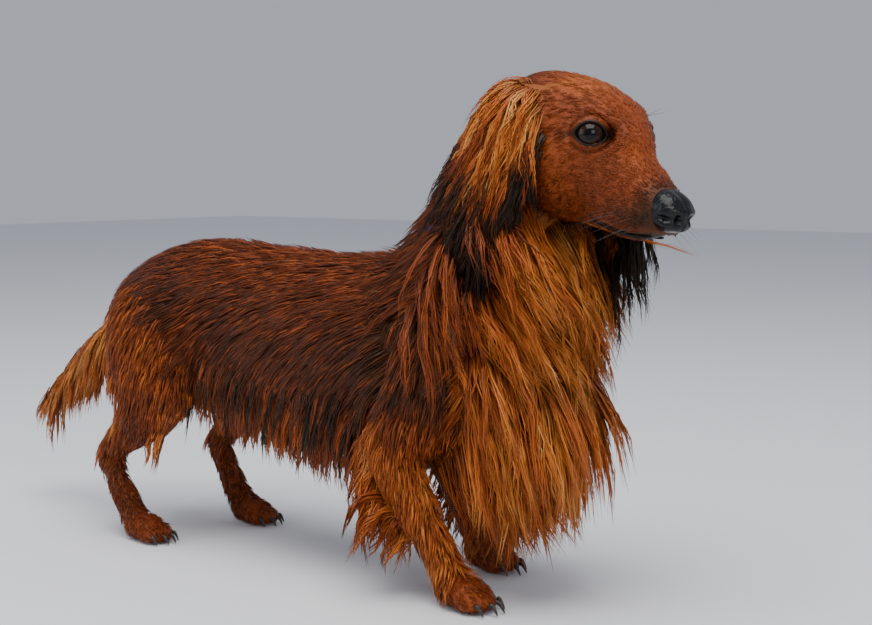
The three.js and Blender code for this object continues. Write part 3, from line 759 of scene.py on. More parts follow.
def open_eyes(h):
    """Moves the skin round each eye onto the lids, and behind the eyeball inside the opening."""
    h = h.copy()
    for side in SIDES:
        turn, at = eye_frame(side)
        e = (h - at) @ turn
        share = lid_share(e)
        reach = np.linalg.norm(e[:, :2], axis=1)
        room = EYE_RADIUS + 1.7 + 0.9 * bell(share, 1.42, 0.14)
        shell = np.sqrt(np.maximum(room**2 - reach**2, 0))
        inner = np.sqrt(np.maximum((EYE_RADIUS - 1.6) ** 2 - reach**2, 0))
        on_lid = np.where(share < 1.0, inner, shell)
        weight = 1 - smooth_step(share, 1.25, 1.95)
        near = (e[:, 2] > 0) & (share < 1.95) & (reach < EYE_RADIUS * 1.6)
        wanted = e[:, 2] * (1 - weight) + on_lid * weight
        e[:, 2] = np.where(near, np.where(share < 1.25, on_lid, wanted), e[:, 2])
        h = e @ turn.T + at
    return h


# How light the painted shade leaves the skin where short fur shows, and where the coat covers it
SHORT_FUR_SHADE, UNDER_COAT_SHADE = 0.45, 0.12


def build_skin():
    settings = bpy.context.scene.dachshund_body
    bm = bmesh.new()
    for form in FORMS.values():
        form.loft(bm, sides=40, rows=6)
    for _, (x, y), r in toe_places():
        made = bmesh.ops.create_uvsphere(bm, u_segments=16, v_segments=10, radius=r - 1.2)["verts"]
        bmesh.ops.scale(bm, verts=made, vec=(1.5, 0.56, 1.05))
        bmesh.ops.translate(bm, verts=made, vec=(x, y, r * 0.92))
    bm = remeshed(bm, settings.skin_voxel / MM)
    soften(bm, bm.verts, 7)
    refine(bm, lambda p: head_zone(p) | paw_zone(p))
    refine(bm, face_zone)
    chosen = head_zone(coordinates(bm))
    soften(bm, [v for v, pick in zip(bm.verts, chosen) if pick], 4)
    co, normals = coordinates(bm), normals_of(bm)
    h = to_head(co)
    ears = (np.abs(h[:, 1]) > 45)[:, None]
    rise = head_relief(h) * smooth_step(h[:, 0], -70, -50)
    moved = np.where(ears, co, on_head(open_eyes(to_head(co + normals * rise[:, None]))))
    moved[:, 2] = np.maximum(moved[:, 2], 0.05)
    set_coordinates(bm, moved)
    bm.normal_update()
    which, share, turn = zones(moved)
    tone = markings(moved, which, share, turn)
    names = np.array(NAMES)[which]
    short = (names == "skull") | np.char.endswith(names, "foot") | np.char.endswith(names, "pastern")
    # Painted shade: the skin is painted darker where the coat covers it than where short fur shows
    skin_shade = np.where(short, SHORT_FUR_SHADE, UNDER_COAT_SHADE)
    piece = place(
        "skin", bm, skin_material(), "skin",
        "torso", "neck", "head", "jaw", "ear_left", "ear_right", "tail",
        "foreleg_left", "foreleg_right", "hindleg_left", "hindleg_right",
        "forepaw_left", "forepaw_right", "hindpaw_left", "hindpaw_right",
    )
    set_values(piece.data, "tone", tone)
    set_values(piece.data, "skin_shade", skin_shade)
    return piece


# The coat

# Where hair near the box of the solids starts to be eased back, and over what depth
BOX_START, BOX_EASE = 2.0, 6.0
# Size of each lock's patch on the map for baking
LOCK_PATCH = 0.003
# The map's tiles, one for each form, and the empty edge of a tile
TILE_COLUMNS, TILE_EDGE = 5, 0.08
SHADE_SEED, WHISKER_SEED = 97, 5
FULL_TURN = 6.28


class Ground:
    """The finished skin, for rooting hair and for keeping it outside."""

    def __init__(self, piece):
        mesh = piece.data
        mesh.calc_loop_triangles()
        co = np.empty(len(mesh.vertices) * 3)
        mesh.vertices.foreach_get("co", co)
        self.co = co.reshape(-1, 3) / MM - np.array(SHIFT)
        tri = np.empty(len(mesh.loop_triangles) * 3, np.int32)
        mesh.loop_triangles.foreach_get("vertices", tri)
        self.tri = tri.reshape(-1, 3)
        a, b, c = self.corners(slice(None))
        normal = np.cross(b - a, c - a)
        self.area = np.linalg.norm(normal, axis=1) / 2
        self.normal = unit(normal)
        self.centre = (a + b + c) / 3
        self.which, self.share, self.turn = zones(self.centre)
        self.tree = BVHTree.FromPolygons(self.co.tolist(), self.tri.tolist())

    def corners(self, chosen):
        return (self.co[self.tri[chosen, i]] for i in range(3))

    def roots(self, rng, weight, count):
        """Random places on the skin, as often as the weights and areas say."""
        chance = self.area * weight
        chosen = np.searchsorted(np.cumsum(chance), rng.random(count) * chance.sum())
        chosen = np.minimum(chosen, len(self.tri) - 1)
        u, v = rng.random((2, count))
        flip = u + v > 1
        u, v = np.where(flip, 1 - u, u), np.where(flip, 1 - v, v)
        a, b, c = self.corners(chosen)
        return a + (b - a) * u[:, None] + (c - a) * v[:, None], chosen

    def nearest(self, points):
        found = [self.tree.find_nearest(p) for p in points.tolist()]
        return np.array([f[0] for f in found]), np.array([f[1] for f in found])


def lie_at(lie, place_at):
    """A batch's lie is one direction, or a function of the root's place."""
    return lie(*place_at) if callable(lie) else np.tile(np.array(lie, float), (len(place_at[0]), 1))


def length_at(length, place_at):
    """A batch's length at the start and the end of a form, or as a function of the root's place."""
    return length(*place_at) if callable(length) else length[0] + (length[1] - length[0]) * place_at[1]


def comb(ground, rng, spec, count):
    """Guide curves of locks: rooted on the skin, laid along the lie, drooping and kept outside the skin."""
    windows = np.zeros(len(ground.tri))
    b = fold(ground.turn)
    names = np.array(NAMES)[ground.which]
    for form in spec["on"]:
        zone = names == form
        (t0, t1), (b0, b1) = spec.get("t", (-1, 2)), spec.get("b", (-1, 181))
        zone = zone & (ground.share >= t0) & (ground.share <= t1) & (b >= b0) & (b <= b1)
        windows = np.where(zone, 1.0, windows)
    if "where" in spec:
        windows = windows * spec["where"](ground)
    root, chosen = ground.roots(rng, windows, count)
    normal = ground.normal[chosen]
    place_at = (root, ground.share[chosen], ground.turn[chosen])
    lie = lie_at(spec["lie"], place_at)
    lie = unit(lie + rng.normal(0, spec.get("stray", 0.12), lie.shape))
    length = length_at(spec["length"], place_at) * rng.uniform(0.75, 1.2, count)
    steps = spec.get("steps", 2)
    hug, depth = spec.get("hug", 1), spec.get("depth", 5)
    lift, droop = spec.get("lift", 0.2), spec.get("droop", 0.2)
    height = depth * rng.uniform(0.55, 1.15, count)
    lift = lift * rng.uniform(0.35, 1.15, count)[:, None]
    p = root - normal * 1.0
    path, faces = [p], [normal]
    flow = unit(lie - normal * (lie * normal).sum(-1, keepdims=True))
    for step in range(1, steps + 1):
        s = step / steps
        heading = flow * (1 - droop * s) + np.array((0, 0, -1.0)) * droop * s + normal * lift * (1 - s)
        p = p + unit(heading) * (length / steps)[:, None]
        ground_at, ground_normal = ground.nearest(p)
        above = ((p - ground_at) * ground_normal).sum(-1)
        rise = height * (1 - (1 - s) ** 2)
        floor_height = np.minimum(rise, spec.get("clear", 2.5))
        wanted = np.where(above < floor_height, floor_height, above)
        wanted = wanted * (1 - hug) + rise * hug
        if hug == 1:
            p = np.where((above < 40)[:, None], ground_at + ground_normal * wanted[:, None], p)
        else:
            p = p + ground_normal * (wanted - above)[:, None]
        p[:, 2] = np.maximum(p[:, 2], 1.0 + 1.5 * (1 - s))
        if hug > 0.3:
            normal = unit(normal * 0.4 + ground_normal * 0.6)
            flow = unit(lie - normal * (lie * normal).sum(-1, keepdims=True))
        path.append(p)
        faces.append(normal)
    return np.stack(path, 1), np.stack(faces, 1), chosen, length


def within_box(curve):
    """Eases hair that would stand far out of the box of the solids back towards it."""
    low, high = (np.array(corner) / MM - np.array(SHIFT) for corner in cad_box)
    middle, half = (low + high) / 2, (high - low) / 2
    away = curve - middle
    past = np.abs(away) - half
    eased = BOX_EASE * np.tanh((past + BOX_START) / BOX_EASE) - BOX_START
    curve = middle + np.sign(away) * (half + np.where(past > -BOX_START, eased, past))
    curve[:, :, 2] = np.maximum(curve[:, :, 2], 0.8)
    return curve


def strands(ground, rng, spec):
    """Locks round each guide. Returns their curves, faces, widths and markings."""
    scale = bpy.context.scene.dachshund_coat.density
    guides, kids = max(1, int(spec["guides"] * scale)), spec["kids"]
    path, faces, chosen, length = comb(ground, rng, spec, guides)
    steps = path.shape[1]
    s = np.linspace(0, 1, steps)
    path, faces, chosen = (np.repeat(a, kids, 0) for a in (path, faces, chosen))
    count = len(path)
    along = unit(np.gradient(path, axis=1))
    across = unit(np.cross(along, faces))
    out = np.cross(across, along)
    radius = spec.get("spread", 4.0)
    shift_a = rng.normal(0, radius * 0.6, count)
    shift_o = rng.normal(0, radius * 0.22, count)
    shift_l = rng.normal(0, radius * 0.8, count)
    pull = 1 - spec.get("clump", 0.6) * s**0.7
    reach = rng.uniform(0.62, 1.0, count)
    inside = reach[:, None] * (steps - 1) * s[None]
    low = np.minimum(inside.astype(int), steps - 2)
    f = (inside - low)[..., None]
    rows = np.arange(count)[:, None]
    curve = path[rows, low] * (1 - f) + path[rows, low + 1] * f
    curve = curve + across * (shift_a[:, None] * pull[None])[..., None]
    curve = curve + out * (shift_o[:, None] * (pull * s)[None])[..., None]
    curve = curve + along * shift_l[:, None, None] * 0.5
    wave, turns = spec.get("wave", 0), spec.get("turns", 1.5)
    if wave:
        phase = np.repeat(rng.random(guides), kids) * FULL_TURN + rng.normal(0, 0.45, count)
        for curl, way, rise in ((np.sin, across, s**0.8), (np.cos, out, 0.45 * s)):
            swing = curl(turns * FULL_TURN * s[None] + phase[:, None]) - curl(phase)[:, None]
            curve = curve + way * (swing * wave * rise[None])[..., None]
    curve = within_box(curve)
    width = spec["width"] * rng.uniform(0.7, 1.25, count)
    where = (ground.which[chosen], ground.share[chosen], ground.turn[chosen])
    tone = markings(ground.centre[chosen], *where) + spec.get("tone", 0)
    clump_tone = np.repeat(rng.normal(0, spec.get("streaks", 0.05), guides), kids)
    tips = spec.get("tips", 0) * smooth_step(s, spec.get("tips_from", 0.3), 1)
    tones = np.clip((tone + clump_tone)[:, None] + tips[None], 0, 1)
    return curve, out, width, tones, where, spec.get("thick", 0.4), spec.get("contrast", 1.0)


def unwrap(where):
    """A root's place on the skin unrolled form by form: each form is one tile."""
    which, share, turn = where
    rows = math.ceil(len(NAMES) / TILE_COLUMNS)
    span = 1 - 2 * TILE_EDGE
    u = (which % TILE_COLUMNS + TILE_EDGE + span * ((turn / (2 * math.pi)) % 1)) / TILE_COLUMNS
    v = (which // TILE_COLUMNS + TILE_EDGE + span * np.clip(share, 0, 1)) / rows
    return u, v


def lock_triangles(steps):
    """The triangles of one closed three-sided lock, from its root's end to its tip."""
    tri = [(0, 2, 1)]
    for k in range(0, 3 * (steps - 2), 3):
        for i in range(3):
            a, b = k + i, k + (i + 1) % 3
            tri += [(a, b, b + 3), (a, b + 3, a + 3)]
    last = 3 * (steps - 2)
    tri += [(last + i, last + (i + 1) % 3, last + 3) for i in range(3)]
    return np.array(tri)


def hair_piece(name, batches):
    """One mesh of closed, tapered, three-sided locks from the curves of several batches."""
    verts, faces, tones, strand, uvs = [], [], [], [], []
    start = 0
    rng = np.random.default_rng(SHADE_SEED)
    for curve, out, width, tone, where, thick, contrast in batches:
        count, steps = curve.shape[:2]
        s = np.linspace(0, 1, steps)
        profile = np.minimum(1, 0.72 + 1.2 * s) * np.sqrt(np.maximum(1 - s, 0)) ** 0.9
        along = unit(np.gradient(curve, axis=1))
        across = unit(np.cross(along, out))
        half = (width[:, None] * profile[None] / 2)[..., None]
        ridge = out * half * 2 * thick
        low = curve - ridge * 0.35
        ring = np.stack([low - across * half, low + across * half, curve + ridge * 0.65], 2)[:, : steps - 1]
        body = ring.reshape(count, -1, 3)
        points = np.concatenate([body, curve[:, -1:]], 1)
        per = points.shape[1]
        tri = lock_triangles(steps)
        faces.append((tri[None] + (np.arange(count) * per)[:, None, None] + start).reshape(-1, 3))
        verts.append(points.reshape(-1, 3))
        tones.append(np.concatenate([np.repeat(tone[:, : steps - 1], 3, 1), tone[:, -1:]], 1).ravel())
        s_all = np.concatenate([np.repeat(s[: steps - 1], 3), s[-1:]])
        chance = np.repeat(0.5 + (rng.random(count) - 0.5) * contrast, per)
        side = np.concatenate([np.tile((0.0, 1.0, 0.5), steps - 1), [0.5]])
        strand.append(np.stack([np.tile(s_all, count), chance, np.tile(side, count)], 1))
        u, v = unwrap(where)
        corner_u = u[:, None] + LOCK_PATCH * (side[None] - 0.5)
        corner_v = v[:, None] + LOCK_PATCH * (s_all[None] - 0.5)
        uvs.append(np.stack([corner_u.ravel(), corner_v.ravel()], 1))
        start += count * per
    verts, faces, tones, strand, uvs = (np.concatenate(a) for a in (verts, faces, tones, strand, uvs))
    mesh = bpy.data.meshes.new(name)
    mesh.vertices.add(len(verts))
    mesh.vertices.foreach_set("co", pack_points(verts).ravel().astype(np.float32))
    mesh.loops.add(len(faces) * 3)
    mesh.loops.foreach_set("vertex_index", faces.ravel().astype(np.int32))
    mesh.polygons.add(len(faces))
    mesh.polygons.foreach_set("loop_start", np.arange(0, len(faces) * 3, 3, dtype=np.int32))
    mesh.update(calc_edges=True)
    set_values(mesh, "tone", tones)
    mesh.attributes.new("strand", "FLOAT_VECTOR", "POINT").data.foreach_set(
        "vector", strand.ravel().astype(np.float32)
    )
    layer = mesh.uv_layers.new(name="OFBake")
    layer.data.foreach_set("uv", uvs[faces.ravel()].ravel().astype(np.float32))
    add_piece(name, mesh, coat_material(), "coat")


# Lies and lengths of the coat


def head_lie(root, share, turn):
    """Back from the nose, turning down over the cheeks and round the ears."""
    h = to_head(root)
    lie = np.tile(np.array((-1.0, 0, 0.0)), (len(root), 1))
    lie[:, 2] = -0.1 - 0.75 * smooth_step(np.abs(h[:, 1]), 12, 40) * smooth_step(-h[:, 0], -60, -10)
    lie[:, 1] = 0.25 * np.sign(h[:, 1]) * smooth_step(h[:, 2], 10, 40)
    return lie @ HEAD_TURN.T


def trunk_lie(root, share, turn):
    b = fold(turn)
    lie = np.stack([-np.ones(len(root)), np.zeros(len(root)), -0.15 - 0.9 * smooth_step(b, 40, 120)], 1)
    lie[:, 1] = 0.25 * np.sign(np.cos(turn)) * (1 - smooth_step(b, 20, 60))
    lie[:, 0] += 0.55 * smooth_step(root[:, 0], 150, 215)
    return lie


def tail_lie(root, share, turn):
    b = fold(turn)
    lie = np.tile(np.array((-0.85, 0.03, -0.55)), (len(root), 1))
    lie[:, 2] -= 0.6 * smooth_step(b, 70, 150)
    return lie


def ear_lie(side):
    def lie(root, share, turn):
        h = to_head(root)
        middle = np.interp(h[:, 2], (-78, 37), (-24, -20)) + (0.24 * (37 - h[:, 2]) if side > 0 else 0)
        back = np.clip((middle + 10 - h[:, 0]) / 34, 0, 1.3)
        ahead = 0.04 - (1.1 if side < 0 else 0.5) * back
        local = np.stack([ahead, np.full(len(h), 0.12 * side), -np.ones(len(h))], 1)
        return local @ HEAD_TURN.T

    return lie


LEG_FORMS = [name for name in NAMES if name.startswith(("hind", "fore"))]


def parts(*ends):
    return [name for name in LEG_FORMS if name.endswith(ends)]


def right_of(limit):
    return lambda ground: (ground.centre[:, 1] * -1 > limit).astype(float)


def left_of(limit):
    return lambda ground: (ground.centre[:, 1] > limit).astype(float)


# Where the collar shows: middle and reach, in degrees round the neck and in shares of its length
GAP_TURN, GAP_SHARE, GAP_COVER = (234, 20), (0.66, 0.24), 0.06


def collar_gap(ground):
    """Fewer hairs where the collar shows below the right ear."""
    turn = np.abs(np.degrees(ground.turn) % 360 - GAP_TURN[0]) < GAP_TURN[1]
    shown = turn & (np.abs(ground.share - GAP_SHARE[0]) < GAP_SHARE[1])
    return np.where(shown & (np.array(NAMES)[ground.which] == "neck"), GAP_COVER, 1.0)


def ear_where(ground):
    """Leaves out the front of the ear's root, where the head's own fur runs."""
    front = smooth_step(0.5 + 0.5 * np.cos(ground.turn), 0.8, 0.95)
    return 1 - front * (1 - smooth_step(ground.share, 0.05, 0.15))


def face_where(ground):
    """Thin near the eyes, the lips and the nose, none inside the mouth or the eyes."""
    h = to_head(ground.centre)
    weight = 1 + 1.6 * smooth_step(h[:, 0], 10, 60)
    for side in SIDES:
        e = in_eye(h, side)
        weight = np.where((e[:, 2] > 0) & (lid_share(e) < 1.24), 0, weight)
    gap = mouth_gap(h)
    weight = np.where((gap > -2.0) & (gap < 3.0) & (h[:, 0] > 45), 0, weight)
    nose = (h[:, 0] > 100) & (np.abs(h[:, 1]) < 14) & (h[:, 2] > -28.5)
    return np.where(nose, 0, weight)


def face_length(root, share, turn):
    h = to_head(root)
    length = 13 - 7.5 * smooth_step(h[:, 0], -5, 66)
    return length + 14 * smooth_step(-h[:, 0], 10, 60)


def flank(where):
    return dict(
        on=["trunk"], b=(0, 150), where=where, guides=2900, kids=4, length=(42, 42), width=2.1, depth=6,
        lie=trunk_lie, spread=4.5, clump=0.5, streaks=0.04, tips=0.04, stray=0.07,
    )


# Each coat piece is made of batches of locks. on, b and t say where they root: forms, degrees from the top
# and share of the form's length. guides is the number of clumps and kids the locks in each. hug, lift and
# droop shape their path, depth is how far they stand off the skin, and tips darkens or lightens their ends.
COATS = {
    "coat_trunk_right": [flank(right_of(-6))],
    "coat_trunk_left": [flank(left_of(-6))],
    "coat_belly": [
        dict(on=["trunk"], b=(112, 150), t=(0.2, 0.78), guides=280, kids=9, length=(46, 54), width=1.8,
             steps=4, hug=0, lift=0.35, droop=0.75, lie=(-0.45, 0, -1), spread=6, clump=0.85, wave=1.8,
             streaks=0.08, tips=0.02),
        dict(on=["trunk"], b=(92, 125), t=(0.22, 0.82), guides=240, kids=8, length=(54, 62), width=1.8,
             steps=4, hug=0.25, depth=9, lift=0.2, droop=0.6, lie=(-0.6, 0, -1), spread=5, clump=0.85,
             wave=1.8, streaks=0.08, tips=-0.05),
        dict(on=["trunk"], b=(95, 135), t=(0.24, 0.8), guides=80, kids=5, length=(66, 76), width=1.7,
             steps=4, hug=0.2, depth=11, lift=0.25, droop=0.6, lie=(-0.5, 0, -1), spread=1.8, clump=0.98,
             wave=2.0, tone=-0.25, tips=-0.3, tips_from=0.1),
    ],
    "coat_chest": [
        dict(on=["trunk"], b=(55, 181), t=(0.8, 1.1), guides=490, kids=10, length=(72, 86), width=1.8,
             steps=4, hug=0, lift=0.95, droop=0.6, lie=(0.4, 0, -1), spread=7, clump=0.85, wave=2.6,
             streaks=0.07, tips=0.03),
    ],
    "coat_neck": [
        dict(on=["neck"], b=(72, 181), t=(-1, 0.84), where=collar_gap, guides=500, kids=10,
             length=(92, 108), width=1.8, steps=4, hug=0, lift=1.1, droop=0.35, lie=(0.75, 0.25, -0.9),
             spread=7, clump=0.87, wave=3.4, streaks=0.07, tips=0.05),
        dict(on=["neck"], b=(0, 100), where=collar_gap, guides=700, kids=5, length=(42, 44), width=2.0,
             depth=12, lie=(-0.8, 0, -0.7), spread=5, clump=0.6),
        dict(on=["neck"], b=(0, 125), t=(0.48, 0.9), where=collar_gap, guides=900, kids=5, length=(44, 44),
             width=2.2, depth=15, lie=(-0.8, 0, -0.7), spread=4, clump=0.5, stray=0.08),
    ],
    "coat_head": [
        dict(on=["skull"], where=face_where, guides=5800, kids=3, length=face_length, width=0.8, depth=1.0,
             lie=head_lie, spread=1.5, clump=0.3, streaks=0.015, tips=0.02, stray=0.05, thick=0.22,
             contrast=0.3),
    ],
    "coat_ear_right": [
        dict(on=["ear_right"], t=(-1, 0.4), where=ear_where, guides=250, kids=10, length=(62, 66),
             width=1.6, steps=5, hug=0.35, depth=10, lift=0.25, droop=0.5, lie=ear_lie(-1), spread=5,
             clump=0.85, wave=3.0, turns=1.6, streaks=0.1, tips=-0.1, tips_from=0.7),
        dict(on=["ear_right"], t=(0.3, 0.66), guides=190, kids=10, length=(76, 78), width=1.5, steps=5,
             hug=0.15, depth=11, lift=0.4, droop=0.45, lie=ear_lie(-1), spread=4, clump=0.9, wave=3.4,
             turns=1.7, streaks=0.08, tips=-0.6, tips_from=0.25),
        dict(on=["ear_right"], t=(0.5, 1.1), guides=230, kids=8, length=(76, 84), width=1.4, steps=5,
             hug=0.05, depth=9, lift=0.45, droop=0.55, lie=ear_lie(-1), spread=3.0, clump=0.94, wave=3.4,
             turns=1.4, tone=-0.4, tips=-0.4, tips_from=0.0),
    ],
    "coat_ear_left": [
        dict(on=["ear_left"], guides=260, kids=9, length=(52, 62), width=1.8, steps=4, hug=0.6, depth=7,
             lift=0.1, droop=0.6, lie=ear_lie(1), spread=4.5, clump=0.85, wave=1.8, turns=1.4,
             streaks=0.08, tips=-0.3, tips_from=0.3),
        dict(on=["ear_left"], t=(0.4, 1.1), guides=110, kids=7, length=(72, 80), width=1.5, steps=5,
             hug=0.05, lift=0.4, droop=0.75, lie=(0.85, 0.1, -1), spread=2.6, clump=0.95, wave=3.0,
             turns=1.4, tone=-0.45, tips=-0.4, tips_from=0.0),
    ],
    "coat_thighs": [
        dict(on=parts("thigh"), guides=1300, kids=4, length=(32, 28), width=2.0, depth=6,
             lie=(-0.25, 0, -1), spread=4.5, clump=0.5, streaks=0.06, tips=0.05),
        dict(on=parts("thigh"), b=(125, 181), guides=200, kids=9, length=(40, 42), width=1.9, steps=4,
             hug=0, lift=0.4, droop=0.75, lie=(-0.5, 0, -1), spread=5, clump=0.8, wave=1.8, tips=0.08),
    ],
    "coat_hind_legs": [
        dict(on=parts("shank"), guides=900, kids=4, length=(24, 16), width=1.7, depth=3.8,
             lie=(-0.55, 0, -0.9), spread=3.5, clump=0.5, streaks=0.06),
        dict(on=parts("shank"), b=(120, 181), guides=150, kids=8, length=(34, 26), width=1.7, steps=4,
             hug=0, lift=0.4, droop=0.7, lie=(-0.6, 0, -1), spread=4, clump=0.8, wave=1.4, tips=0.1),
        dict(on=parts("pastern"), guides=700, kids=4, length=(13, 10), width=1.3, depth=2.4,
             lie=(0.1, 0, -1), spread=2.5, clump=0.4),
    ],
    "coat_fore_legs": [
        dict(on=parts("arm"), guides=1000, kids=4, length=(34, 28), width=2.0, depth=6, lie=(-0.2, 0, -1),
             spread=4.5, clump=0.5, streaks=0.07),
        dict(on=parts("forearm"), guides=1100, kids=4, length=(22, 13), width=1.6, depth=3.4,
             lie=(-0.1, 0, -1), spread=3, clump=0.5, streaks=0.06, tips=0.04),
    ],
    "coat_feathers": [
        dict(on=parts("forearm"), b=(105, 181), t=(0, 0.5), guides=230, kids=9, length=(64, 44), width=1.8,
             steps=5, hug=0, lift=0.2, droop=0.75, lie=(-0.9, 0, -0.7), spread=4.5, clump=0.88, wave=4.0,
             turns=1.2, streaks=0.08, tips=-0.2),
        dict(on=parts("foot"), guides=1700, kids=3, length=(8, 7), width=1.0, depth=1.7,
             lie=(0.8, 0, -0.5), spread=1.6, clump=0.3, thick=0.3, contrast=0.6),
    ],
    "coat_tail": [
        dict(on=["tail"], guides=600, kids=4, length=(34, 30), width=1.8, depth=3.6, lie=tail_lie,
             spread=3.5, clump=0.6, streaks=0.08),
        dict(on=["tail"], b=(75, 181), guides=330, kids=9, length=(60, 52), width=1.8, steps=4, hug=0,
             lift=0.25, droop=0.7, lie=(-0.5, 0, -1), spread=5, clump=0.8, wave=2.0, streaks=0.1, tips=0.1),
    ],
}


# Settings


class DachshundBodySettings(bpy.types.PropertyGroup):
    """Sizes of the body's own pieces."""

    skin_voxel: FloatProperty(
        name="Skin cell", description="Size of the cells that the skin is made from", default=0.003,
        min=0.002, max=0.01, subtype="DISTANCE", unit="LENGTH",
    )
    whisker_length: FloatProperty(
        name="Whiskers", description="Length of the longest whiskers", default=0.034, subtype="DISTANCE",
        unit="LENGTH",
    )


class DachshundCoatSettings(bpy.types.PropertyGroup):
    """Density and colours of the coat."""

    density: FloatProperty(name="Density", description="Share of the full number of locks", default=1.0,
                           min=0.05, max=1.2, subtype="FACTOR")
    seed: IntProperty(name="Seed", description="Start of the random numbers", default=11)
    black: FloatVectorProperty(name="Black", description="Wet tips, eye rims and lips", subtype="COLOR",
                               default=(0.005, 0.004, 0.004), min=0, max=1)
    seal: FloatVectorProperty(name="Seal", description="Darkest brown of the flanks", subtype="COLOR",
                              default=(0.02, 0.0065, 0.003), min=0, max=1)
    mahogany: FloatVectorProperty(name="Mahogany", description="Brown of the back", subtype="COLOR",
                                  default=(0.085, 0.018, 0.005), min=0, max=1)
    red: FloatVectorProperty(name="Red", description="Red of the head and the thighs", subtype="COLOR",
                             default=(0.22, 0.036, 0.007), min=0, max=1)
    orange: FloatVectorProperty(name="Orange", description="Orange of the forehead and the forelegs",
                                subtype="COLOR", default=(0.43, 0.1, 0.014), min=0, max=1)
    gold: FloatVectorProperty(name="Gold", description="Gold of the throat and the ears", subtype="COLOR",
                              default=(0.6, 0.21, 0.035), min=0, max=1)
    cream: FloatVectorProperty(name="Cream", description="Palest streaks", subtype="COLOR",
                               default=(0.72, 0.38, 0.13), min=0, max=1)


class DachshundTrimSettings(bpy.types.PropertyGroup):
    """Colours of the collar, the eyes and the leather of the nose."""

    collar: FloatVectorProperty(name="Collar", description="Blue of the webbing", subtype="COLOR",
                                default=(0.012, 0.05, 0.36), min=0, max=1)
    iris: FloatVectorProperty(name="Iris", description="Brown of the iris", subtype="COLOR",
                              default=(0.014, 0.006, 0.003), min=0, max=1)
    leather: FloatVectorProperty(name="Leather", description="Black of the nose, the lips and the lids",
                                 subtype="COLOR", default=(0.004, 0.004, 0.005), min=0, max=1)
    claw: FloatVectorProperty(name="Claws", description="Colour of the horn", subtype="COLOR",
                              default=(0.015, 0.011, 0.009), min=0, max=1)


GROUND = {}


class DACHSHUND_OT_skin(bpy.types.Operator):
    """Builds the one skin of body, legs, head, ears and tail"""

    bl_idname = "dachshund.skin"
    bl_label = "Skin"

    def execute(self, context):
        GROUND["skin"] = Ground(build_skin())
        return {"FINISHED"}


class DACHSHUND_OT_coat(bpy.types.Operator):
    """Grows the coat, piece by piece"""

    bl_idname = "dachshund.coat"
    bl_label = "Coat"

    def execute(self, context):
        ground = GROUND["skin"]
        for number, (name, specs) in enumerate(COATS.items()):
            rng = np.random.default_rng(context.scene.dachshund_coat.seed + number)
            hair_piece(name, [strands(ground, rng, spec) for spec in specs])
        return {"FINISHED"}


def leather_material(name, roughness, scale, strength):
    """Wet black leather with a pebbled grain."""
    material, shader = new_material(name, roughness, Specular_IOR_Level=0.22)
    tree = material.node_tree
    pebble = put(
        tree, "ShaderNodeTexVoronoi", {"Vector": in_object(tree), "Scale": scale}, feature="SMOOTH_F1"
    )
    dark = bpy.context.scene.dachshund_trim.leather
    dye(tree, shader, pebble.outputs["Distance"], ((0, brightened(dark, 1.6)), (1, dark)))
    emboss(tree, shader, pebble.outputs["Distance"], strength, 0.0006, invert=True)
    return material


def eye_material():
    """Dark brown iris with a black pupil, under a clear wet front."""
    material, shader = new_material("Wet eye", 0.03, Specular_IOR_Level=0.2)
    tree = material.node_tree
    ring = put(tree, "ShaderNodeAttribute", attribute_name="ring")
    iris = bpy.context.scene.dachshund_trim.iris
    pupil = (0.001, 0.001, 0.001)
    dye(tree, shader, ring.outputs["Fac"], (
        (0.0, pupil), (0.30, pupil), (0.36, iris), (0.72, brightened(iris, 1.5)),
        (0.8, (0.003, 0.002, 0.002)), (1.0, (0.02, 0.01, 0.008)),
    ))
    return material


def eye_piece(side, material):
    """An eyeball with a slightly raised clear front."""
    turn, at = eye_frame(side)
    bm = bmesh.new()
    bmesh.ops.create_uvsphere(bm, u_segments=40, v_segments=28, radius=EYE_RADIUS)
    co = coordinates(bm)
    off_axis = np.degrees(np.arccos(np.clip(co[:, 2] / EYE_RADIUS, -1, 1)))
    bulge = 1 + 0.045 * bell(off_axis, 0, 32)
    set_coordinates(bm, on_head((co * bulge[:, None]) @ turn.T + at))
    name = "left" if side > 0 else "right"
    piece = place(f"eyeball_{name}", bm, material, "eye", f"eye_{name}")
    set_values(piece.data, "ring", np.clip(off_axis / 60, 0, 1))


class DACHSHUND_OT_eyes(bpy.types.Operator):
    """Builds both eyes and their lids"""

    bl_idname = "dachshund.eyes"
    bl_label = "Eyes and lids"

    def execute(self, context):
        wet = eye_material()
        rims = bmesh.new()
        for side in SIDES:
            eye_piece(side, wet)
            turn, at = eye_frame(side)
            angle = np.linspace(0, 2 * math.pi, 48, endpoint=False)
            x = np.cos(angle) * LID_HALF[0] * RIM_SCALE
            tall = np.where(np.sin(angle) > 0, LID_HALF[1], LID_HALF[1] * LOWER_LID)
            y = np.sin(angle) * tall * RIM_SCALE / np.sqrt(1 + LID_POINT * np.cos(angle) ** 2)
            z = np.sqrt((EYE_RADIUS + 0.9) ** 2 - x**2 - y**2)
            points = on_head(np.stack([x, y, z], 1) @ turn.T + at)
            outward = unit(points - on_head([at])[0])
            upper = smooth_step(np.sin(angle), -0.2, 0.5)
            sizes = np.stack([0.65 + 0.25 * upper, 0.55 + 0.2 * upper], 1)
            ring_tube(rims, points, sizes, outward, closed=True)
        place("lids", rims, leather_material("Lid rim", 0.5, 900, 0.25), "skin")
        return {"FINISHED"}


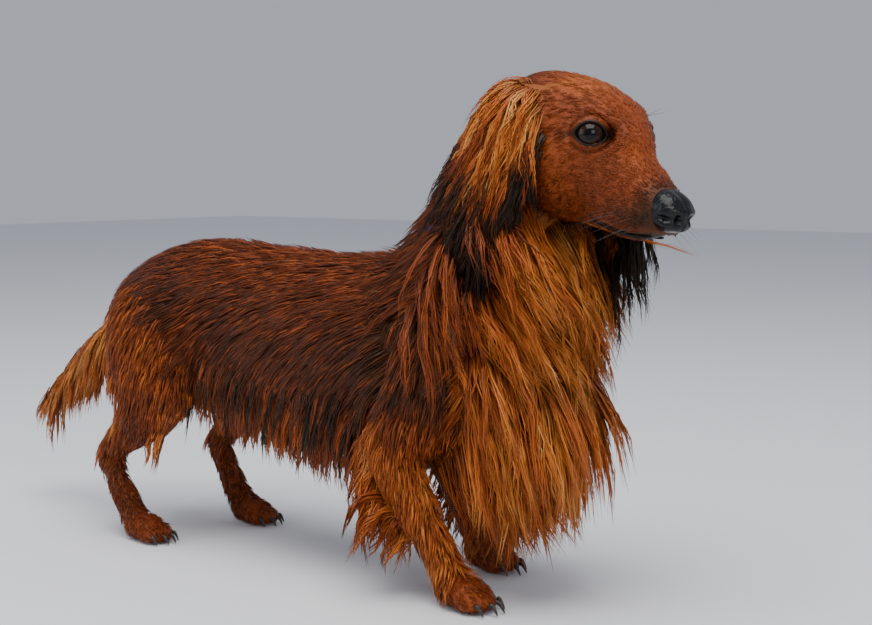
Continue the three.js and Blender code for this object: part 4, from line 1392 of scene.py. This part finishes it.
class DACHSHUND_OT_nose(bpy.types.Operator):
    """Builds the leather of the nose, with its nostrils"""

    bl_idname = "dachshund.nose"
    bl_label = "Nose"

    def execute(self, context):
        bm = bmesh.new()
        Form("nose", head_sections(NOSE), -0.4, HEAD_LEFT, square=2.4, cap=0.4).loft(bm, sides=40, rows=6)
        bm = remeshed(bm, 0.75)
        soften(bm, bm.verts, 3)
        co, normals = coordinates(bm), normals_of(bm)
        rise = relief(folded(to_head(co)), NOSE_RELIEF)
        set_coordinates(bm, co + normals * rise[:, None])
        place("nose_leather", bm, leather_material("Nose leather", 0.25, 620, 0.5), "nose", "nose")
        return {"FINISHED"}


def cheek_point(x, side, z):
    """Where the skin lies at a place on one side of the head, and which way it faces."""
    start = Vector(on_head([(x, side * 70, z)])[0])
    hit, normal, _, _ = GROUND["skin"].tree.ray_cast(start, Vector(-side * HEAD_LEFT))
    return None if hit is None else (np.array(hit), np.array(normal))


class DACHSHUND_OT_lips(bpy.types.Operator):
    """Builds the black edges of the lips along the line of the mouth"""

    bl_idname = "dachshund.lips"
    bl_label = "Lips"

    def execute(self, context):
        bm = bmesh.new()
        line = spline([(x, 0, z) for x, z in MOUTH], np.linspace(0, 1, 26))
        for side in SIDES:
            found = [cheek_point(x, side, z) for x, _, z in line]
            points = [hit + normal * 1.0 for hit, normal in filter(None, found)]
            outs = [normal for _, normal in filter(None, found)]
            share = np.linspace(0, 1, len(points))
            thick = 2.5 - 1.3 * smooth_step(share, 0.05, 0.6)
            sizes = np.stack([thick, thick * 0.62], 1) * np.minimum(1, 0.35 + share * 6)[:, None]
            ring_tube(bm, points, sizes, outs)
        place("lips", bm, leather_material("Lip edge", 0.3, 800, 0.3), "skin")
        return {"FINISHED"}


class DACHSHUND_OT_claws(bpy.types.Operator):
    """Builds four curved claws on each foot"""

    bl_idname = "dachshund.claws"
    bl_label = "Claws"

    def execute(self, context):
        bm = bmesh.new()
        for _, (x, y), r in toe_places():
            size = r / TOE_RADIUS
            stations = []
            for k, thick in enumerate((2.1, 1.9, 1.4, 0.55)):
                middle = (x + r * 1.16 + k * 2.0 * size, y, r * (1.02 - 0.06 * k - 0.07 * k * k))
                stations.append((middle, thick * 0.7 * size, thick * 0.85 * size, thick * 0.85 * size))
            Form("claw", stations, 0).loft(bm, sides=12, rows=3)
        material, shader = new_material("Horn", 0.3, Specular_IOR_Level=0.5)
        tree = material.node_tree
        grain = put(tree, "ShaderNodeTexNoise", {"Vector": in_object(tree), "Scale": 300})
        horn = context.scene.dachshund_trim.claw
        dye(tree, shader, grain.outputs["Fac"], ((0, brightened(horn, 0.5)), (1, brightened(horn, 1.7))))
        place("claws", bm, material, "claw")
        return {"FINISHED"}


# Where whiskers root, along and up the head, and their share of the full length
WHISKER_SPOTS = [(x, z, 1.0) for x in (70, 78, 86, 93) for z in (-30, -26, -22)]
WHISKER_SPOTS += [(38, 34, 0.5), (42, 33, 0.4), (12, -24, 0.5)]


class DACHSHUND_OT_whiskers(bpy.types.Operator):
    """Adds the whiskers of the muzzle and the brows"""

    bl_idname = "dachshund.whiskers"
    bl_label = "Whiskers"

    def execute(self, context):
        rng = np.random.default_rng(WHISKER_SEED)
        longest = context.scene.dachshund_body.whisker_length / MM
        bm = bmesh.new()
        for side in SIDES:
            for x, z, share in WHISKER_SPOTS:
                found = cheek_point(x + rng.uniform(-2, 2), side, z + rng.uniform(-1.5, 1.5))
                if found is None:
                    continue
                root, out = found
                lie = HEAD_TURN @ np.array((-0.35 if z < 0 else 0.5, side * 0.4, -0.4 if z < 0 else 0.6))
                length = longest * share * rng.uniform(0.6, 1)
                k = np.linspace(0, 1, 6)[:, None]
                bend = unit(lie)[None] * k**1.5 * 0.7 + out[None] * k * 0.7
                points = root[None] - out * 0.8 + bend * length
                sizes = np.stack([0.17 * (1.06 - k[:, 0])] * 2, 1)
                ring_tube(bm, points, sizes, [np.array((0.3, 0.2, 1.0))] * 6, sides=4)
        material, shader = new_material("Whisker", 0.4)
        shader.inputs["Base Color"].default_value = (0.02, 0.012, 0.01, 1)
        place("whiskers", bm, material, "coat")
        return {"FINISHED"}


# The collar's place on the neck, its size, and how far it hangs away from the throat
COLLAR_AT, COLLAR_WIDTH, COLLAR_THICKNESS = 0.5, 19, 2.4
COLLAR_SLACK, COLLAR_STEPS = 9, 96


class DACHSHUND_OT_collar(bpy.types.Operator):
    """Builds the webbing collar round the neck"""

    bl_idname = "dachshund.collar"
    bl_label = "Collar"

    def execute(self, context):
        neck = FORMS["neck"]
        bm = bmesh.new()
        angle = np.linspace(0, 2 * math.pi, COLLAR_STEPS, endpoint=False)
        slack = COLLAR_SLACK * bell(np.degrees(angle), 240, 24)
        middle = neck.at(np.full(COLLAR_STEPS, COLLAR_AT), angle, 0.4 + slack)
        outward = unit(middle - neck.frames(np.array([COLLAR_AT]))[0][0])
        sizes = np.tile((COLLAR_WIDTH / 2, COLLAR_THICKNESS / 2), (COLLAR_STEPS, 1))
        ring_tube(bm, middle, sizes, outward, closed=True, sides=16)
        material, shader = new_material("Webbing", 0.55, Specular_IOR_Level=0.3)
        tree = material.node_tree
        weave = put(
            tree, "ShaderNodeTexWave", {"Vector": in_object(tree), "Scale": 260, "Distortion": 0.6},
            wave_type="BANDS", bands_direction="DIAGONAL",
        )
        blue = context.scene.dachshund_trim.collar
        dye(tree, shader, weave.outputs["Fac"], ((0, brightened(blue, 0.6)), (1, brightened(blue, 1.3))))
        emboss(tree, shader, weave.outputs["Fac"], 0.5, 0.0005)
        place("collar_webbing", bm, material, "collar", "collar")
        return {"FINISHED"}


# The stage

CAMERA_AZIMUTH = 40
CAMERA_DISTANCE = 1150
CAMERA_AIM = (60, 0)
CAMERA_HEIGHT = 310
SENSOR_WIDTH = 36
FOCUS_PIXELS = 1500
PHOTO_SIZE = (872, 625)
HORIZON_ROW = 167
AIM_COLUMN = 365
# Name, place, target, size, power and colour
LIGHTS = (
    ("top light", (0.4, -0.6, 2.2), (0, 0, 0.2), 1.8, 60, (1, 0.99, 0.97)),
    ("front light", (2.2, -1.6, 1.2), (0.1, 0, 0.2), 1.2, 20, (1, 0.97, 0.93)),
    ("side light", (-1.6, -1.8, 1.0), (0, 0, 0.2), 1.4, 12, (0.93, 0.96, 1)),
)


def add_light(name, place_at, target, size, power, colour):
    light = bpy.data.lights.new(name, "AREA")
    light.energy, light.size, light.color = power, size, colour
    lamp = add_object(name, light)
    lamp.location = place_at
    lamp.rotation_mode = "QUATERNION"
    lamp.rotation_quaternion = (Vector(target) - Vector(place_at)).to_track_quat("-Z", "Y")


class DACHSHUND_OT_stage(bpy.types.Operator):
    """Sets the floor, the soft light and the camera"""

    bl_idname = "dachshund.stage"
    bl_label = "Stage"

    def execute(self, context):
        scene = context.scene
        bm = bmesh.new()
        bmesh.ops.create_grid(bm, x_segments=2, y_segments=2, size=6)
        floor = add_object("floor", mesh_from(bm, "floor"))
        material, shader = new_material("Pale floor", 0.8)
        shader.inputs["Base Color"].default_value = (0.78, 0.79, 0.82, 1)
        floor.data.materials.append(material)
        azimuth = math.radians(CAMERA_AZIMUTH)
        back = Vector((math.sin(azimuth), -math.cos(azimuth), 0))
        spot = Vector((*CAMERA_AIM, 0)) + back * CAMERA_DISTANCE
        spot.z = CAMERA_HEIGHT
        pitch = math.atan((PHOTO_SIZE[1] / 2 - HORIZON_ROW) / FOCUS_PIXELS)
        ahead = Vector((-back.x * math.cos(pitch), -back.y * math.cos(pitch), -math.sin(pitch)))
        turn = math.atan((AIM_COLUMN - PHOTO_SIZE[0] / 2) / FOCUS_PIXELS)
        ahead = Matrix.Rotation(turn, 3, "Z") @ ahead
        data = bpy.data.cameras.new("camera")
        data.sensor_fit, data.sensor_width = "HORIZONTAL", SENSOR_WIDTH
        data.lens = FOCUS_PIXELS / PHOTO_SIZE[0] * SENSOR_WIDTH
        data.clip_start, data.clip_end = 0.01, 50
        camera = add_object("camera", data)
        camera.location = (spot + SHIFT) * MM
        camera.rotation_mode = "QUATERNION"
        camera.rotation_quaternion = ahead.to_track_quat("-Z", "Y")
        scene.camera = camera
        world = bpy.data.worlds.new("soft room")
        world.use_nodes = True
        sky = world.node_tree.nodes["Background"].inputs
        sky["Color"].default_value = (0.86, 0.9, 1.0, 1)
        sky["Strength"].default_value = 0.5
        scene.world = world
        for light in LIGHTS:
            add_light(*light)
        return {"FINISHED"}


class DACHSHUND_PT_panel(bpy.types.Panel):
    """Lists the dachshund's pieces"""

    bl_idname = "DACHSHUND_PT_panel"
    bl_label = "Dachshund"
    bl_space_type = "VIEW_3D"
    bl_region_type = "UI"
    bl_category = "Dachshund"

    def draw(self, context):
        for settings in ("dachshund_body", "dachshund_coat", "dachshund_trim"):
            group = getattr(context.scene, settings)
            for name in group.bl_rna.properties.keys():
                if name not in ("rna_type", "name"):
                    self.layout.prop(group, name)
        for operator in OPERATORS:
            self.layout.operator(operator.bl_idname)


SETTINGS = {
    "dachshund_body": DachshundBodySettings,
    "dachshund_coat": DachshundCoatSettings,
    "dachshund_trim": DachshundTrimSettings,
}
OPERATORS = (
    DACHSHUND_OT_stage, DACHSHUND_OT_skin, DACHSHUND_OT_coat, DACHSHUND_OT_eyes, DACHSHUND_OT_nose,
    DACHSHUND_OT_lips, DACHSHUND_OT_claws, DACHSHUND_OT_whiskers, DACHSHUND_OT_collar,
)


def register():
    for name, settings in SETTINGS.items():
        bpy.utils.register_class(settings)
        setattr(bpy.types.Scene, name, PointerProperty(type=settings))
    for operator in OPERATORS:
        bpy.utils.register_class(operator)
    bpy.utils.register_class(DACHSHUND_PT_panel)


def unregister():
    bpy.utils.unregister_class(DACHSHUND_PT_panel)
    for operator in reversed(OPERATORS):
        bpy.utils.unregister_class(operator)
    for name, settings in SETTINGS.items():
        delattr(bpy.types.Scene, name)
        bpy.utils.unregister_class(settings)


def main():
    register()
    for operator in OPERATORS:
        group, name = operator.bl_idname.split(".")
        getattr(getattr(bpy.ops, group), name)()


if __name__ == "__main__":
    main()
